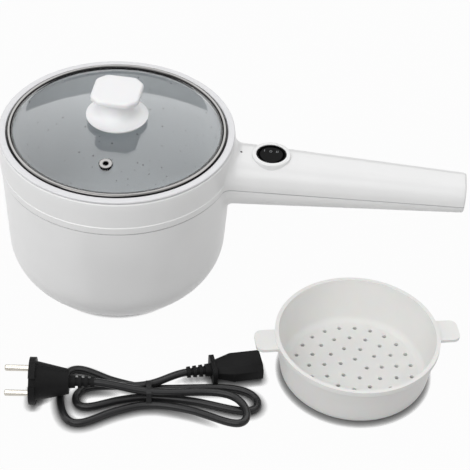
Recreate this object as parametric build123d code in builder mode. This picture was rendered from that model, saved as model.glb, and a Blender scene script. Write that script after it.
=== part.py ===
from build123d import *
import os
from math import ceil, cos, pi, radians, sin, sqrt, tan

# Electric pot with a long handle, a lift-off glass lid, a steam basket and a detachable lead.
# Millimetres. The origin is on the table under the pot's axis, +X runs along the handle, +Z is up.

os.makedirs("parts", exist_ok=True)

# Fits
slip = 0.05
play = 0.3

# Pot body: the height and radius of the mouth set the other pieces' places
rim_height = 147.0
rim_radius = 92.5
foot_height = 2.5
housing_wall = 2.5
housing_drop = 2.6
housing_swell = 0.5
housing_taper = 7.0
bottom_fillet = 44.7
housing_top_round = 1.2
seam_drop = 32.5
seam_chamfer = 0.5
belt_height = 7.5
belt_proud = 0.5
base_opening_share = 0.675
base_ledge_width = 5.0
base_ledge_height = 7.0
base_ledge_thickness = 2.0
shelf_gap = 1.3
shelf_thickness = 2.0

# Mouth: collar, seat of the lid and flange of the inner pot
collar_seat_depth = 5.0
collar_seat_thickness = 2.0
collar_seat_width = 4.4
collar_land = 5.7
collar_lip_thickness = 2.0
collar_gap = 0.8
collar_round = 0.9
pot_flange_inset = 1.1
pot_flange_thickness = 1.2
pot_wall = 1.5
pot_step = 0.4
pot_taper = 8.5
pot_floor_height = 29.0
pot_fillet = 34.0

# Handle: rounded sections, placed out and down from the edge of the mouth
handle_root_depth = 30.5
handle_reach = 183.5
handle_root_width = 50.0
handle_end_width = 32.6
handle_root_drop = 10.7
handle_end_drop = 17.6
handle_root_height = 45.4
handle_end_height = 25.1
handle_root_corner = 18.0
handle_end_corner = 10.6
handle_end_round = 2.0
handle_root_fillet = 8.0
handle_tail_solid = 27.0
handle_screw_reach = (57.5, 123.5)
handle_boss_radius = 4.6
screw_shank_radius = 1.3
screw_head_radius = 2.8
screw_head_height = 2.0
screw_bite = 9.0
screw_recess = 6.0

# Round rocker switch with its raised collar, and the lamp beside it
switch_reach = 29.5
switch_boss_radius = 15.4
switch_boss_proud = 2.0
switch_boss_round = 0.8
switch_depth = 16.4
switch_seat_thickness = 1.5
switch_seat_bore = 8.0
switch_radius = 12.0
switch_rim_drop = 0.3
switch_rim_round = 0.5
switch_bore_radius = 10.75
switch_floor_thickness = 4.0
rocker_axis_drop = 5.4
rocker_ball_radius = 10.4
rocker_crown = 5.2
rocker_depth = 4.5
rocker_dish_radius = 45.0
rocker_dish_depth = 0.9
trunnion_radius = 1.5
trunnion_reach = 11.7
terminal_width = 4.8
terminal_thickness = 0.8
terminal_length = 9.0
terminal_pitch = 5.6
terminal_approach = 1.8
lamp_reach = 5.7
lamp_radius = 1.0
lamp_proud = 0.25
lamp_base_radius = 1.9
lamp_base_length = 4.0

# Appliance inlet in the handle's tail
inlet_width = 26.8
inlet_height = 18.8
inlet_corner = 5.0
inlet_length = 25.0
inlet_setback = 0.5
inlet_cavity_width = 24.2
inlet_cavity_height = 16.4
inlet_cavity_corner = 3.6
inlet_cavity_depth = 17.0
inlet_pin_width = 2.0
inlet_pin_height = 4.0
inlet_pin_length = 15.0
inlet_pin_spacing = 14.0
inlet_earth_offset = 4.0
inlet_tag_length = 6.0

# Lid: steel hoop, domed glass, knob and steam vent
lid_gap = 0.4
hoop_wall = 0.7
hoop_width = 3.9
hoop_lip_width = 3.2
hoop_rise = 1.3
glass_edge_thickness = 4.5
glass_edge_margin = 0.5
glass_thickness = 4.0
glass_rise = 10.0
glass_bore_radius = 4.2
vent_inset = 27.5
vent_bearing = -90.0
vent_flange_radius = 5.4
vent_flange_thickness = 0.9
vent_barrel_radius = 3.0
vent_hole_radius = 1.7
vent_tail_radius = 4.4
gasket_radius = 16.0
gasket_rise = 1.4
knob_flange_radius = 24.3
knob_flange_edge = 2.3
knob_neck_radius = 11.5
knob_neck_height = 12.5
knob_head_width = 37.8
knob_head_corner = 7.2
knob_head_thickness = 5.6
knob_head_height = 26.0
knob_head_chamfer = 1.0
knob_turn = -2.3
knob_screw_radius = 2.0
knob_screw_reach = 14.0
knob_screw_head_radius = 4.5
knob_screw_head_height = 2.4
knob_washer_radius = 9.0
knob_washer_thickness = 1.0

# Heater under the inner pot, and the base that closes the housing
plate_inset = 8.0
plate_thickness = 4.0
tube_radius = 3.2
tube_inset = 11.0
tube_opening = 50.0
thermostat_radius = 8.0
thermostat_height = 7.0
thermostat_lug_spacing = 8.0
thermostat_lug_length = 6.0
thermostat_lug_width = 3.2
fuse_radius = 2.0
fuse_length = 14.0
fuse_distance = 20.0
stud_count = 3
stud_inset = 22.0
stud_radius = 4.5
stud_bore_depth = 7.0
base_screw_radius = 1.8
base_screw_head_radius = 3.4
base_screw_head_height = 2.2
base_screw_recess = 4.0
base_post_radius = 5.2
shield_height = 14.2
shield_thickness = 0.8
shield_inset = 3.0
shield_rim = 4.0
base_thickness = 2.2
base_edge_inset = 7.0
base_rim_wall = 2.6
vent_slot_count = 8
vent_slot_length = 12.0
vent_slot_width = 2.4
vent_slot_circle_radius = 16.0
foot_count = 4
foot_radius = 6.0
foot_inset = 7.0
foot_recess = 1.2

# Wires in the handle and down behind the inner pot
wire_radius = 1.1
wire_square_run = 7.0
bend_share = 0.45
earth_side = 10.0

# Steam basket standing beside the pot
basket_reach = 110.5
basket_y = -92.0
basket_turn = 12.9
basket_rim_radius = 64.4
basket_base_radius = 57.5
basket_height = 41.0
basket_wall = 1.8
basket_base_round = 8.0
basket_floor_thickness = 2.0
basket_rim_band = 1.2
basket_rim_band_height = 4.0
basket_hole_radius = 1.7
basket_ring_radii = (11.0, 23.0, 35.0, 46.5)
basket_hole_counts = (5, 11, 17, 23)
basket_lug_reach = 80.3
basket_lug_width = 22.0
basket_lug_thickness = 2.6
basket_lug_drop = 2.0
basket_lug_corner = 6.0

# Detachable lead: a hank of five strands through one tie, with loops to both sides of it
hank_x = 39.0
hank_reach = 51.5
hank_turn = 9.2
cord_diameter = 6.0
strand_gap = 1.45
tie_distance = 8.0
tie_middle = -4.6
tie_width = 4.0
tie_thickness = 1.0
tie_clearance = 0.15
loop_reach = (56.0, 84.0, 68.0, 74.0)
loop_half_width = (9.0, -9.4, 25.0, -13.4)
loop_middle = (-3.0, -11.5, 3.0, -20.0)
loop_lift = (0.0, 0.0, 0.0, 7.4)
loop_point_count = 8
loop_probe = 0.001
loop_fullness = 0.55
loop_settle = 1.5
gap_sample_count = 900
plug_axis_height = 18.4
plug_turn = -2.5
plug_tail_distance = -33.6
plug_tail_offset = -2.9
plug_flange_radius = 18.2
plug_flange_thickness = 5.0
plug_notch_width = 6.5
plug_notch_depth = 4.0
plug_body_radius = 15.2
plug_waist_radius = 9.6
plug_body_length = 25.0
plug_roll = 130.0
plug_pin_radius = 2.4
plug_pin_length = 19.0
plug_pin_round = 1.2
plug_pin_spacing = 19.0
relief_radius = 5.2
relief_end_radius = 4.4
relief_length = 19.0
relief_rib_count = 3
relief_rib_width = 2.6
relief_rib_gap = 2.2
relief_rib_depth = 1.5
connector_turn = 8.0
connector_tail_distance = 38.0
connector_tail_offset = 16.5
connector_axis_height = 8.3
connector_width = 24.0
connector_height = 16.0
connector_corner = 1.2
connector_key = 4.0
connector_block_length = 23.0
connector_shoulder_length = 13.0
connector_shoulder_width = 14.5
connector_shoulder_height = 13.0
connector_flange_width = 22.5
connector_flange_height = 15.0
connector_flange_thickness = 3.6
connector_flange_corner = 4.0
contact_slot_width = 2.8
contact_slot_height = 5.4
contact_depth = 15.0
contact_spacing = 14.0
contact_earth_offset = 4.0
contact_setback = 0.6
contact_wall = 0.35

# Heights that several pieces share
base_z = foot_height
base_top = base_z + base_thickness
plate_top = pot_floor_height - pot_wall
plate_bottom = plate_top - plate_thickness
seam_height = rim_height - seam_drop
housing_top = rim_height - housing_drop
seat_z = rim_height - collar_seat_depth
flange_top = seat_z - collar_seat_thickness
shelf_top = flange_top - pot_flange_thickness
glass_apex = rim_height + glass_rise
gasket_height = glass_apex + gasket_rise
handle_root_top = rim_height - handle_root_drop
handle_end_top = rim_height - handle_end_drop
handle_root_bottom = handle_root_top - handle_root_height
handle_end_bottom = handle_end_top - handle_end_height
inlet_z = (handle_end_top + handle_end_bottom) / 2

# Radii that follow from the mouth's radius
housing_top_radius = rim_radius + housing_swell
housing_foot_radius = housing_top_radius - housing_taper
collar_skirt_radius = housing_top_radius - housing_wall - collar_gap
collar_recess_radius = rim_radius - collar_land
collar_bore_radius = collar_recess_radius - collar_seat_width
pot_flange_radius = collar_skirt_radius - pot_flange_inset
pot_bore_radius = collar_bore_radius - pot_step
pot_foot_radius = pot_bore_radius - pot_taper
shelf_radius = pot_bore_radius + pot_wall + shelf_gap
hoop_radius = collar_recess_radius - lid_gap
hoop_inner_radius = hoop_radius - hoop_width
hoop_lip_radius = hoop_radius - hoop_lip_width
glass_dome_radius = hoop_inner_radius - glass_edge_margin
vent_distance = glass_dome_radius - vent_inset
base_opening_radius = housing_foot_radius * base_opening_share
base_ledge_radius = base_opening_radius - base_ledge_width
base_edge_radius = base_opening_radius - base_edge_inset
foot_circle_radius = base_edge_radius - foot_inset
shield_radius = base_opening_radius - shield_inset
plate_radius = base_opening_radius - plate_inset
tube_ring_radius = plate_radius - tube_inset
stud_circle_radius = plate_radius - stud_inset

# Places along the handle and beside the pot, out from the edge of the mouth
handle_root_x = rim_radius - handle_root_depth
handle_end_x = rim_radius + handle_reach
handle_screw_x = [rim_radius + reach for reach in handle_screw_reach]
inlet_face_x = handle_end_x - inlet_setback
inlet_back_x = inlet_face_x - inlet_length
lamp_x = rim_radius + lamp_reach
switch_x = rim_radius + switch_reach
basket_x = rim_radius + basket_reach
hank_y = -rim_radius - hank_reach


def handle_at(x):
    """Width, top, bottom and corner radius of the handle's section at x."""
    share = (x - handle_root_x) / (handle_end_x - handle_root_x)
    width = handle_root_width + share * (handle_end_width - handle_root_width)
    top = handle_root_top + share * (handle_end_top - handle_root_top)
    bottom = handle_root_bottom + share * (handle_end_bottom - handle_root_bottom)
    corner = handle_root_corner + share * (handle_end_corner - handle_root_corner)
    return width, top, bottom, corner


def handle_section(x, inset):
    """Rounded section of the handle at x, smaller all round by inset."""
    width, top, bottom, corner = handle_at(x)
    with BuildSketch(Plane.YZ.offset(x)) as section:
        with Locations((0, (top + bottom) / 2)):
            RectangleRounded(width - 2 * inset, top - bottom - 2 * inset, corner - inset)
    return section.sketch


def wall_radius(z):
    """Radius of the housing's straight wall at a height."""
    return housing_foot_radius + housing_taper * (z - base_z) / (housing_top - base_z)


def body_profile(inset, floor, top):
    """Half profile of the housing with its bottom fillet, smaller by inset."""
    foot = wall_radius(floor) - inset
    mouth = wall_radius(top) - inset
    with BuildSketch(Plane.XZ) as profile:
        with BuildLine():
            Polyline((0, floor), (foot, floor), (mouth, top), (0, top), close=True)
        make_face()
        corner = profile.vertices().group_by(Axis.Y)[0].sort_by(Axis.X)[-1:]
        fillet(corner, bottom_fillet - inset)
    return profile.sketch


def upright(x, y, bottom, top, radius):
    """Upright cylinder between two heights, not joined to anything yet."""
    with BuildPart(Plane((x, y, bottom))) as column:
        Cylinder(radius, top - bottom, align=(Align.CENTER, Align.CENTER, Align.MIN))
    return column.part


switch_boss_top = handle_at(switch_x)[1] + switch_boss_proud
switch_seat_height = switch_boss_top - switch_depth
switch_bore_floor = switch_seat_height + switch_floor_thickness
rocker_axis_height = switch_boss_top - rocker_axis_drop
switch_boss = upright(
    switch_x, 0, switch_seat_height - switch_seat_thickness, switch_boss_top, switch_boss_radius
)
print("rocker axis height", round(rocker_axis_height, 4))

# Grip of the handle before it joins the body
with BuildPart() as grip:
    loft([handle_section(handle_root_x, 0), handle_section(handle_end_x, 0)])
    fillet(grip.faces().sort_by(Axis.X)[-1].edges(), handle_end_round)

# Outer form of body and handle, as one moulding before it is parted at the seam
with BuildPart() as outer_form:
    revolve(body_profile(0, base_z, housing_top), axis=Axis.Z)
    fillet(outer_form.edges().group_by(Axis.Z)[-1], housing_top_round)
    add(grip.part)
    root_edges = outer_form.edges(Select.NEW)
    fillet(root_edges, handle_root_fillet)
    add(switch_boss)
    boss_face = outer_form.faces().filter_by(Plane.XY).filter_by(lambda f: f.center().X > rim_radius)
    fillet(boss_face.edges(), switch_boss_round)

# Hollow of the body and of the handle, up to the solid tail
with BuildPart() as hollow_form:
    revolve(body_profile(housing_wall, base_z + housing_wall, rim_height), axis=Axis.Z)
    tail = handle_end_x - handle_tail_solid
    loft([handle_section(handle_root_x, housing_wall), handle_section(tail, housing_wall)])
    add(switch_boss, mode=Mode.SUBTRACT)

with BuildPart() as shell_form:
    add(outer_form.part)
    add(hollow_form.part, mode=Mode.SUBTRACT)

# Raised belt round the wall over the seam, open where the handle joins
with BuildPart() as belt:
    with BuildSketch(Plane.XZ):
        with BuildLine():
            belt_bottom = seam_height + 2 * seam_chamfer
            belt_top = seam_height + belt_height
            belt_shoulder = belt_top - 2 * belt_proud
            belt_back = wall_radius(seam_height) - housing_wall / 2
            Polyline(
                (belt_back, belt_bottom),
                (wall_radius(belt_bottom) + belt_proud, belt_bottom),
                (wall_radius(belt_shoulder) + belt_proud, belt_shoulder),
                (wall_radius(belt_top) - belt_proud, belt_top),
                (belt_back, belt_top),
                close=True,
            )
        make_face()
    revolve(axis=Axis.Z)
    add(hollow_form.part, mode=Mode.SUBTRACT)


def inlet_outline(x, inset):
    """Outline of the appliance inlet on a plane across the handle at x."""
    with BuildSketch(Plane.YZ.offset(x)) as outline:
        with Locations((0, inlet_z)):
            RectangleRounded(inlet_width - 2 * inset, inlet_height - 2 * inset, inlet_corner - inset)
    return outline.sketch


# Room that both halves of the handle leave for the inlet and its tags
with BuildPart() as inlet_pocket:
    extrude(inlet_outline(inlet_back_x, 0), amount=inlet_length + 2 * inlet_setback)
    tail = handle_end_x - handle_tail_solid
    extrude(inlet_outline(tail - slip, housing_wall), amount=inlet_back_x - tail + 2 * slip)

# Upper housing: ring of the body, top of the handle and collar of the switch
with BuildPart() as upper_housing:
    add(shell_form.part)
    split(bisect_by=Plane.XY.offset(seam_height), keep=Keep.TOP)
    seam_face = upper_housing.faces().filter_by(Plane.XY).sort_by(Axis.Z)[0]
    chamfer(seam_face.outer_wire().edges(), seam_chamfer)
    add(belt.part)
    with BuildSketch(Plane.XY.offset(shelf_top - shelf_thickness)):
        Circle(housing_top_radius - housing_wall)
        Circle(shelf_radius, mode=Mode.SUBTRACT)
    extrude(amount=shelf_thickness)
    for x in handle_screw_x:
        top = handle_at(x)[1] - housing_wall / 2
        add(upright(x, 0, seam_height, top, handle_boss_radius))
        pilot = screw_shank_radius + slip
        add(upright(x, 0, seam_height, seam_height + screw_bite, pilot), mode=Mode.SUBTRACT)
    bore = switch_radius + slip
    add(upright(switch_x, 0, switch_seat_height, rim_height, bore), mode=Mode.SUBTRACT)
    floor = switch_seat_height - 2 * switch_seat_thickness
    add(upright(switch_x, 0, floor, rim_height, switch_seat_bore), mode=Mode.SUBTRACT)
    add(upright(lamp_x, 0, seam_height + screw_bite, rim_height, lamp_radius + slip), mode=Mode.SUBTRACT)
    add(inlet_pocket.part, mode=Mode.SUBTRACT)

# Lower housing: bowl of the body with its ledge for the base, and underside of the handle
with BuildPart() as lower_housing:
    add(shell_form.part)
    split(bisect_by=Plane.XY.offset(seam_height), keep=Keep.BOTTOM)
    seam_face = lower_housing.faces().filter_by(Plane.XY).sort_by(Axis.Z)[-1]
    chamfer(seam_face.outer_wire().edges(), seam_chamfer)
    add(upright(0, 0, 0, base_ledge_height, base_opening_radius), mode=Mode.SUBTRACT)
    ledge_top = base_ledge_height + base_ledge_thickness
    add(upright(0, 0, base_ledge_height, ledge_top, base_opening_radius + base_ledge_thickness))
    add(upright(0, 0, 0, ledge_top, base_ledge_radius), mode=Mode.SUBTRACT)
    for x in handle_screw_x:
        bottom = handle_at(x)[2]
        seat = bottom + screw_recess
        add(upright(x, 0, bottom + housing_wall / 2, seam_height, handle_boss_radius))
        add(upright(x, 0, bottom - play, seat, screw_head_radius + play), mode=Mode.SUBTRACT)
        add(upright(x, 0, seat, seam_height, screw_shank_radius + slip), mode=Mode.SUBTRACT)
    add(inlet_pocket.part, mode=Mode.SUBTRACT)

with BuildPart() as handle_screws:
    for x in handle_screw_x:
        seat = handle_at(x)[2] + screw_recess
        add(upright(x, 0, seat - screw_head_height, seat, screw_head_radius))
        add(upright(x, 0, seat, seam_height + screw_bite - play, screw_shank_radius))

# Collar at the mouth, with the recess that the lid sits in
with BuildPart() as rim_collar:
    with BuildSketch(Plane.XZ) as collar_profile:
        with BuildLine():
            lip_z = rim_height - collar_lip_thickness
            Polyline(
                (collar_bore_radius, flange_top),
                (collar_skirt_radius, flange_top),
                (collar_skirt_radius, lip_z),
                (rim_radius, lip_z),
                (rim_radius, rim_height),
                (collar_recess_radius, rim_height),
                (collar_recess_radius, seat_z),
                (collar_bore_radius, seat_z),
                close=True,
            )
        make_face()
        lip_corners = collar_profile.vertices().group_by(Axis.Y)[-1]
        fillet(lip_corners, collar_round)
    revolve(axis=Axis.Z)


def pot_profile(inset, floor):
    """Half profile of the inner pot: tapered wall, which holds the basket's lugs, and round floor."""
    with BuildSketch(Plane.XZ) as profile:
        with BuildLine():
            Polyline(
                (0, floor),
                (pot_foot_radius + inset, floor),
                (pot_bore_radius + inset, flange_top),
                (0, flange_top),
                close=True,
            )
        make_face()
        corner = profile.vertices().group_by(Axis.Y)[0].sort_by(Axis.X)[-1:]
        fillet(corner, pot_fillet + inset)
    return profile.sketch


with BuildPart() as inner_pot:
    revolve(pot_profile(pot_wall, plate_top), axis=Axis.Z)
    add(upright(0, 0, shelf_top, flange_top, pot_flange_radius))
    revolve(pot_profile(0, pot_floor_height), axis=Axis.Z, mode=Mode.SUBTRACT)

# Lid hoop: a steel channel that grips the edge of the glass
with BuildPart() as lid_hoop:
    with BuildSketch(Plane.XZ):
        with BuildLine():
            groove_top = seat_z + hoop_wall + glass_edge_thickness
            groove_radius = hoop_radius - hoop_wall
            crown_z = groove_top + hoop_rise
            Line((hoop_radius, groove_top), (hoop_radius, seat_z))
            Line((hoop_radius, seat_z), (hoop_lip_radius, seat_z))
            Line((hoop_lip_radius, seat_z), (hoop_lip_radius, seat_z + hoop_wall))
            Line((hoop_lip_radius, seat_z + hoop_wall), (groove_radius, seat_z + hoop_wall))
            Line((groove_radius, seat_z + hoop_wall), (groove_radius, groove_top))
            Line((groove_radius, groove_top), (hoop_inner_radius, groove_top))
            crown = ((hoop_radius + hoop_inner_radius) / 2, crown_z)
            ThreePointArc((hoop_inner_radius, groove_top), crown, (hoop_radius, groove_top))
        make_face()
    revolve(axis=Axis.Z)

# Domed glass: two spherical faces and a flat edge inside the hoop
glass_edge_bottom = seat_z + hoop_wall
glass_edge_top = glass_edge_bottom + glass_edge_thickness
dome_rise = glass_apex - glass_edge_top
dome_sphere = (glass_dome_radius**2 + dome_rise**2) / (2 * dome_rise)
inner_apex = glass_apex - glass_thickness
inner_rise = inner_apex - glass_edge_bottom
inner_sphere = (glass_dome_radius**2 + inner_rise**2) / (2 * inner_rise)


def dome_z(r):
    """Height of the glass's upper face at radius r."""
    return glass_apex - dome_sphere + sqrt(dome_sphere**2 - r**2)


def inner_dome_z(r):
    """Height of the glass's lower face at radius r."""
    return inner_apex - inner_sphere + sqrt(inner_sphere**2 - r**2)


vent_x = vent_distance * cos(radians(vent_bearing))
vent_y = vent_distance * sin(radians(vent_bearing))
vent_axis = Vector(vent_x, vent_y, dome_z(vent_distance) - glass_apex + dome_sphere).normalized()
vent_plane = Plane((vent_x, vent_y, dome_z(vent_distance)), z_dir=vent_axis)
vent_sink = vent_flange_radius**2 / (2 * dome_sphere) + slip
vent_glass = dome_z(vent_distance) - inner_dome_z(vent_distance)
half_dome = glass_dome_radius / 2

with BuildPart() as lid_glass:
    with BuildSketch(Plane.XZ):
        with BuildLine():
            edge_radius = hoop_radius - hoop_wall
            inner_rim = (glass_dome_radius, glass_edge_bottom)
            outer_rim = (glass_dome_radius, glass_edge_top)
            ThreePointArc((0, inner_apex), (half_dome, inner_dome_z(half_dome)), inner_rim)
            Line(inner_rim, (edge_radius, glass_edge_bottom))
            Line((edge_radius, glass_edge_bottom), (edge_radius, glass_edge_top))
            Line((edge_radius, glass_edge_top), outer_rim)
            ThreePointArc(outer_rim, (half_dome, dome_z(half_dome)), (0, glass_apex))
            Line((0, glass_apex), (0, inner_apex))
        make_face()
    revolve(axis=Axis.Z)
    add(upright(0, 0, seat_z, gasket_height, glass_bore_radius), mode=Mode.SUBTRACT)
    with BuildSketch(vent_plane):
        Circle(vent_barrel_radius + slip)
    extrude(amount=2 * glass_thickness, both=True, mode=Mode.SUBTRACT)

# Steam vent: an eyelet set square to the dome
with BuildPart() as vent_grommet:
    with BuildSketch(vent_plane.offset(vent_sink)):
        Circle(vent_flange_radius)
    extrude(amount=vent_flange_thickness)
    fillet(vent_grommet.edges().group_by(SortBy.LENGTH)[-1].sort_by(Axis.Z)[-1:], vent_flange_thickness / 2)
    with BuildSketch(vent_plane.offset(vent_sink)):
        Circle(vent_barrel_radius)
    extrude(amount=-vent_glass - 2 * vent_sink)
    with BuildSketch(vent_plane.offset(-vent_glass - vent_sink)):
        Circle(vent_tail_radius)
    extrude(amount=-vent_flange_thickness)
    with BuildSketch(vent_plane):
        Circle(vent_hole_radius)
    extrude(amount=2 * glass_thickness, both=True, mode=Mode.SUBTRACT)

# Gasket between the dome and the flat foot of the knob
with BuildPart() as knob_gasket:
    with BuildSketch(Plane.XZ):
        with BuildLine():
            middle = (glass_bore_radius + gasket_radius) / 2
            inner = (glass_bore_radius, dome_z(glass_bore_radius))
            outer = (gasket_radius, dome_z(gasket_radius))
            ThreePointArc(inner, (middle, dome_z(middle)), outer)
            Line(outer, (gasket_radius, gasket_height))
            Line((gasket_radius, gasket_height), (glass_bore_radius, gasket_height))
            Line((glass_bore_radius, gasket_height), inner)
        make_face()
    revolve(axis=Axis.Z)

# Knob: flared foot, waisted neck and a square head with cut corners
head_top = gasket_height + knob_head_height
head_bottom = head_top - knob_head_thickness
edge_z = gasket_height + knob_flange_edge
neck_z = gasket_height + knob_neck_height
head_half = knob_head_width / 2
neck_top_radius = head_half - knob_head_corner / 2
with BuildPart() as lid_knob:
    with BuildSketch(Plane.XZ):
        with BuildLine():
            foot = knob_flange_radius - knob_flange_edge
            Line((0, gasket_height), (foot, gasket_height))
            RadiusArc((foot, gasket_height), (knob_flange_radius, edge_z), -knob_flange_edge)
            flare = (knob_neck_radius, neck_z)
            TangentArc((knob_neck_radius, neck_z), (knob_flange_radius, edge_z), tangent=(0, -1))
            TangentArc(flare, (neck_top_radius, head_bottom), tangent=(0, 1))
            Line((neck_top_radius, head_bottom), (0, head_bottom))
            Line((0, head_bottom), (0, gasket_height))
        make_face()
    revolve(axis=Axis.Z)
    with BuildSketch(Plane.XY.offset(head_bottom).rotated((0, 0, knob_turn))) as head_outline:
        Rectangle(knob_head_width, knob_head_width)
        chamfer(head_outline.vertices(), knob_head_corner)
        fillet(head_outline.vertices(), knob_head_corner / 2)
    extrude(amount=knob_head_thickness)
    head_edges = lid_knob.faces().filter_by(Plane.XY).sort_by(Axis.Z)[-1].edges()
    chamfer(head_edges, knob_head_chamfer)
    bore_top = gasket_height + knob_screw_reach + play
    add(upright(0, 0, gasket_height, bore_top, knob_screw_radius + slip), mode=Mode.SUBTRACT)

washer_top = inner_dome_z(knob_washer_radius)
washer_bottom = washer_top - knob_washer_thickness
with BuildPart() as knob_washer:
    add(upright(0, 0, washer_bottom, washer_top, knob_washer_radius))
    add(upright(0, 0, washer_bottom, washer_top, knob_screw_radius + slip), mode=Mode.SUBTRACT)

with BuildPart() as knob_screw:
    head_z = washer_bottom - knob_screw_head_height
    add(upright(0, 0, head_z, washer_bottom, knob_screw_head_radius))
    fillet(knob_screw.edges().group_by(Axis.Z)[0], knob_screw_head_height / 2)
    add(upright(0, 0, washer_bottom, gasket_height + knob_screw_reach, knob_screw_radius))

# Switch cup in the collar, with the holes that the rocker swings in
switch_rim = switch_boss_top - switch_rim_drop
rocker_axis_plane = Plane((switch_x, 0, rocker_axis_height), z_dir=(0, 1, 0))
with BuildPart() as switch_housing:
    add(upright(switch_x, 0, switch_seat_height, switch_rim, switch_radius))
    fillet(switch_housing.edges().group_by(Axis.Z)[-1], switch_rim_round)
    add(upright(switch_x, 0, switch_bore_floor, switch_rim, switch_bore_radius), mode=Mode.SUBTRACT)
    with BuildSketch(rocker_axis_plane):
        Circle(trunnion_radius + slip)
    extrude(amount=switch_radius, both=True, mode=Mode.SUBTRACT)

# Rocker: dished button on two trunnions, its sides part of a ball about the hinge axis
with BuildPart() as switch_rocker:
    with Locations((switch_x, 0, rocker_axis_height)):
        Sphere(rocker_ball_radius)
    rocker_bottom = rocker_axis_height - rocker_depth
    rocker_top = rocker_axis_height + rocker_crown
    add(upright(switch_x, 0, rocker_bottom, rocker_top, switch_bore_radius), mode=Mode.INTERSECT)
    dish_centre = rocker_top - rocker_dish_depth + rocker_dish_radius
    with BuildSketch(Plane((switch_x, 0, dish_centre), z_dir=(0, 1, 0))):
        Circle(rocker_dish_radius)
    extrude(amount=switch_radius, both=True, mode=Mode.SUBTRACT)
    with BuildSketch(rocker_axis_plane):
        Circle(trunnion_radius)
    extrude(amount=trunnion_reach, both=True)

with BuildPart() as switch_terminals:
    for place in (-1, 0, 1):
        with Locations((switch_x + place * terminal_pitch, 0, switch_seat_height)):
            down = (Align.CENTER, Align.CENTER, Align.MAX)
            Box(terminal_thickness, terminal_width, terminal_length, align=down)

with BuildPart() as indicator_lamp:
    lamp_top = handle_at(lamp_x)[1]
    lens_bottom = lamp_top - housing_wall - play
    add(upright(lamp_x, 0, lens_bottom, lamp_top + lamp_proud, lamp_radius))
    fillet(indicator_lamp.edges().group_by(Axis.Z)[-1], lamp_proud)
    add(upright(lamp_x, 0, lens_bottom - lamp_base_length, lens_bottom, lamp_base_radius))

# Appliance inlet with its three pins
pin_places = (
    (-inlet_pin_spacing / 2, -inlet_earth_offset / 2),
    (inlet_pin_spacing / 2, -inlet_earth_offset / 2),
    (0, inlet_earth_offset / 2),
)


def inlet_pin_outlines(x, pins):
    """Pin sections on a plane across the handle at x."""
    with BuildSketch(Plane.YZ.offset(x)) as outlines:
        with Locations((0, inlet_z)):
            with Locations(*pins):
                Rectangle(inlet_pin_width, inlet_pin_height)
    return outlines.sketch


cavity_floor_x = inlet_face_x - inlet_cavity_depth
tag_end_x = inlet_back_x - inlet_tag_length
with BuildPart() as power_inlet:
    extrude(inlet_outline(inlet_back_x, 0), amount=inlet_length)
    with BuildSketch(Plane.YZ.offset(cavity_floor_x)):
        with Locations((0, inlet_z)):
            RectangleRounded(inlet_cavity_width, inlet_cavity_height, inlet_cavity_corner)
    extrude(amount=inlet_cavity_depth, mode=Mode.SUBTRACT)
    extrude(inlet_pin_outlines(inlet_back_x, pin_places), amount=inlet_length, mode=Mode.SUBTRACT)

with BuildPart() as inlet_pins:
    pin_reach = cavity_floor_x + inlet_pin_length - tag_end_x
    extrude(inlet_pin_outlines(tag_end_x, pin_places), amount=pin_reach)

# Heater: plate with studs, tube ring, cut-outs
stud_places = PolarLocations(stud_circle_radius, stud_count, start_angle=180 / stud_count)
shield_top = shield_height + shield_thickness
with BuildPart() as heating_plate:
    add(upright(0, 0, plate_bottom, plate_top, plate_radius))
    with BuildSketch(Plane.XY.offset(shield_top)):
        with stud_places:
            Circle(stud_radius)
    extrude(amount=plate_bottom - shield_top)
    with BuildSketch(Plane.XY.offset(shield_top)):
        with stud_places:
            Circle(base_screw_radius + slip)
    extrude(amount=stud_bore_depth, mode=Mode.SUBTRACT)

tube_z = plate_bottom - tube_radius
tube_start = tube_opening / 2
with BuildPart() as heating_tube:
    with BuildLine(Plane.XY.offset(tube_z)) as tube_path:
        CenterArc((0, 0), tube_ring_radius, tube_start, 360 - tube_opening)
    with BuildSketch(Plane(tube_path.line @ 0, z_dir=tube_path.line % 0)):
        Circle(tube_radius)
    sweep()

lug_end_x = thermostat_radius + thermostat_lug_length
lug_z = plate_bottom - thermostat_height / 2
with BuildPart() as thermostat:
    add(upright(0, 0, plate_bottom - thermostat_height, plate_bottom, thermostat_radius))
    for side in (-1, 1):
        with Locations((lug_end_x, side * thermostat_lug_spacing / 2, lug_z)):
            inward = (Align.MAX, Align.CENTER, Align.CENTER)
            Box(lug_end_x, thermostat_lug_width, terminal_thickness, align=inward)

with BuildPart() as thermal_fuse:
    fuse_z = plate_bottom - fuse_radius
    fuse_plane = Plane((-fuse_distance / 2, fuse_distance, fuse_z), z_dir=(1, 0, 0))
    with BuildSketch(fuse_plane):
        Circle(fuse_radius)
    extrude(amount=fuse_length / 2, both=True)

with BuildPart() as heat_shield:
    add(upright(0, 0, shield_height, shield_top + shield_rim, shield_radius))
    inside = shield_radius - shield_thickness
    add(upright(0, 0, shield_top, shield_top + shield_rim, inside), mode=Mode.SUBTRACT)
    with BuildSketch(Plane.XY.offset(shield_height)):
        with stud_places:
            Circle(base_screw_radius + play)
    extrude(amount=shield_thickness, mode=Mode.SUBTRACT)

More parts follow.
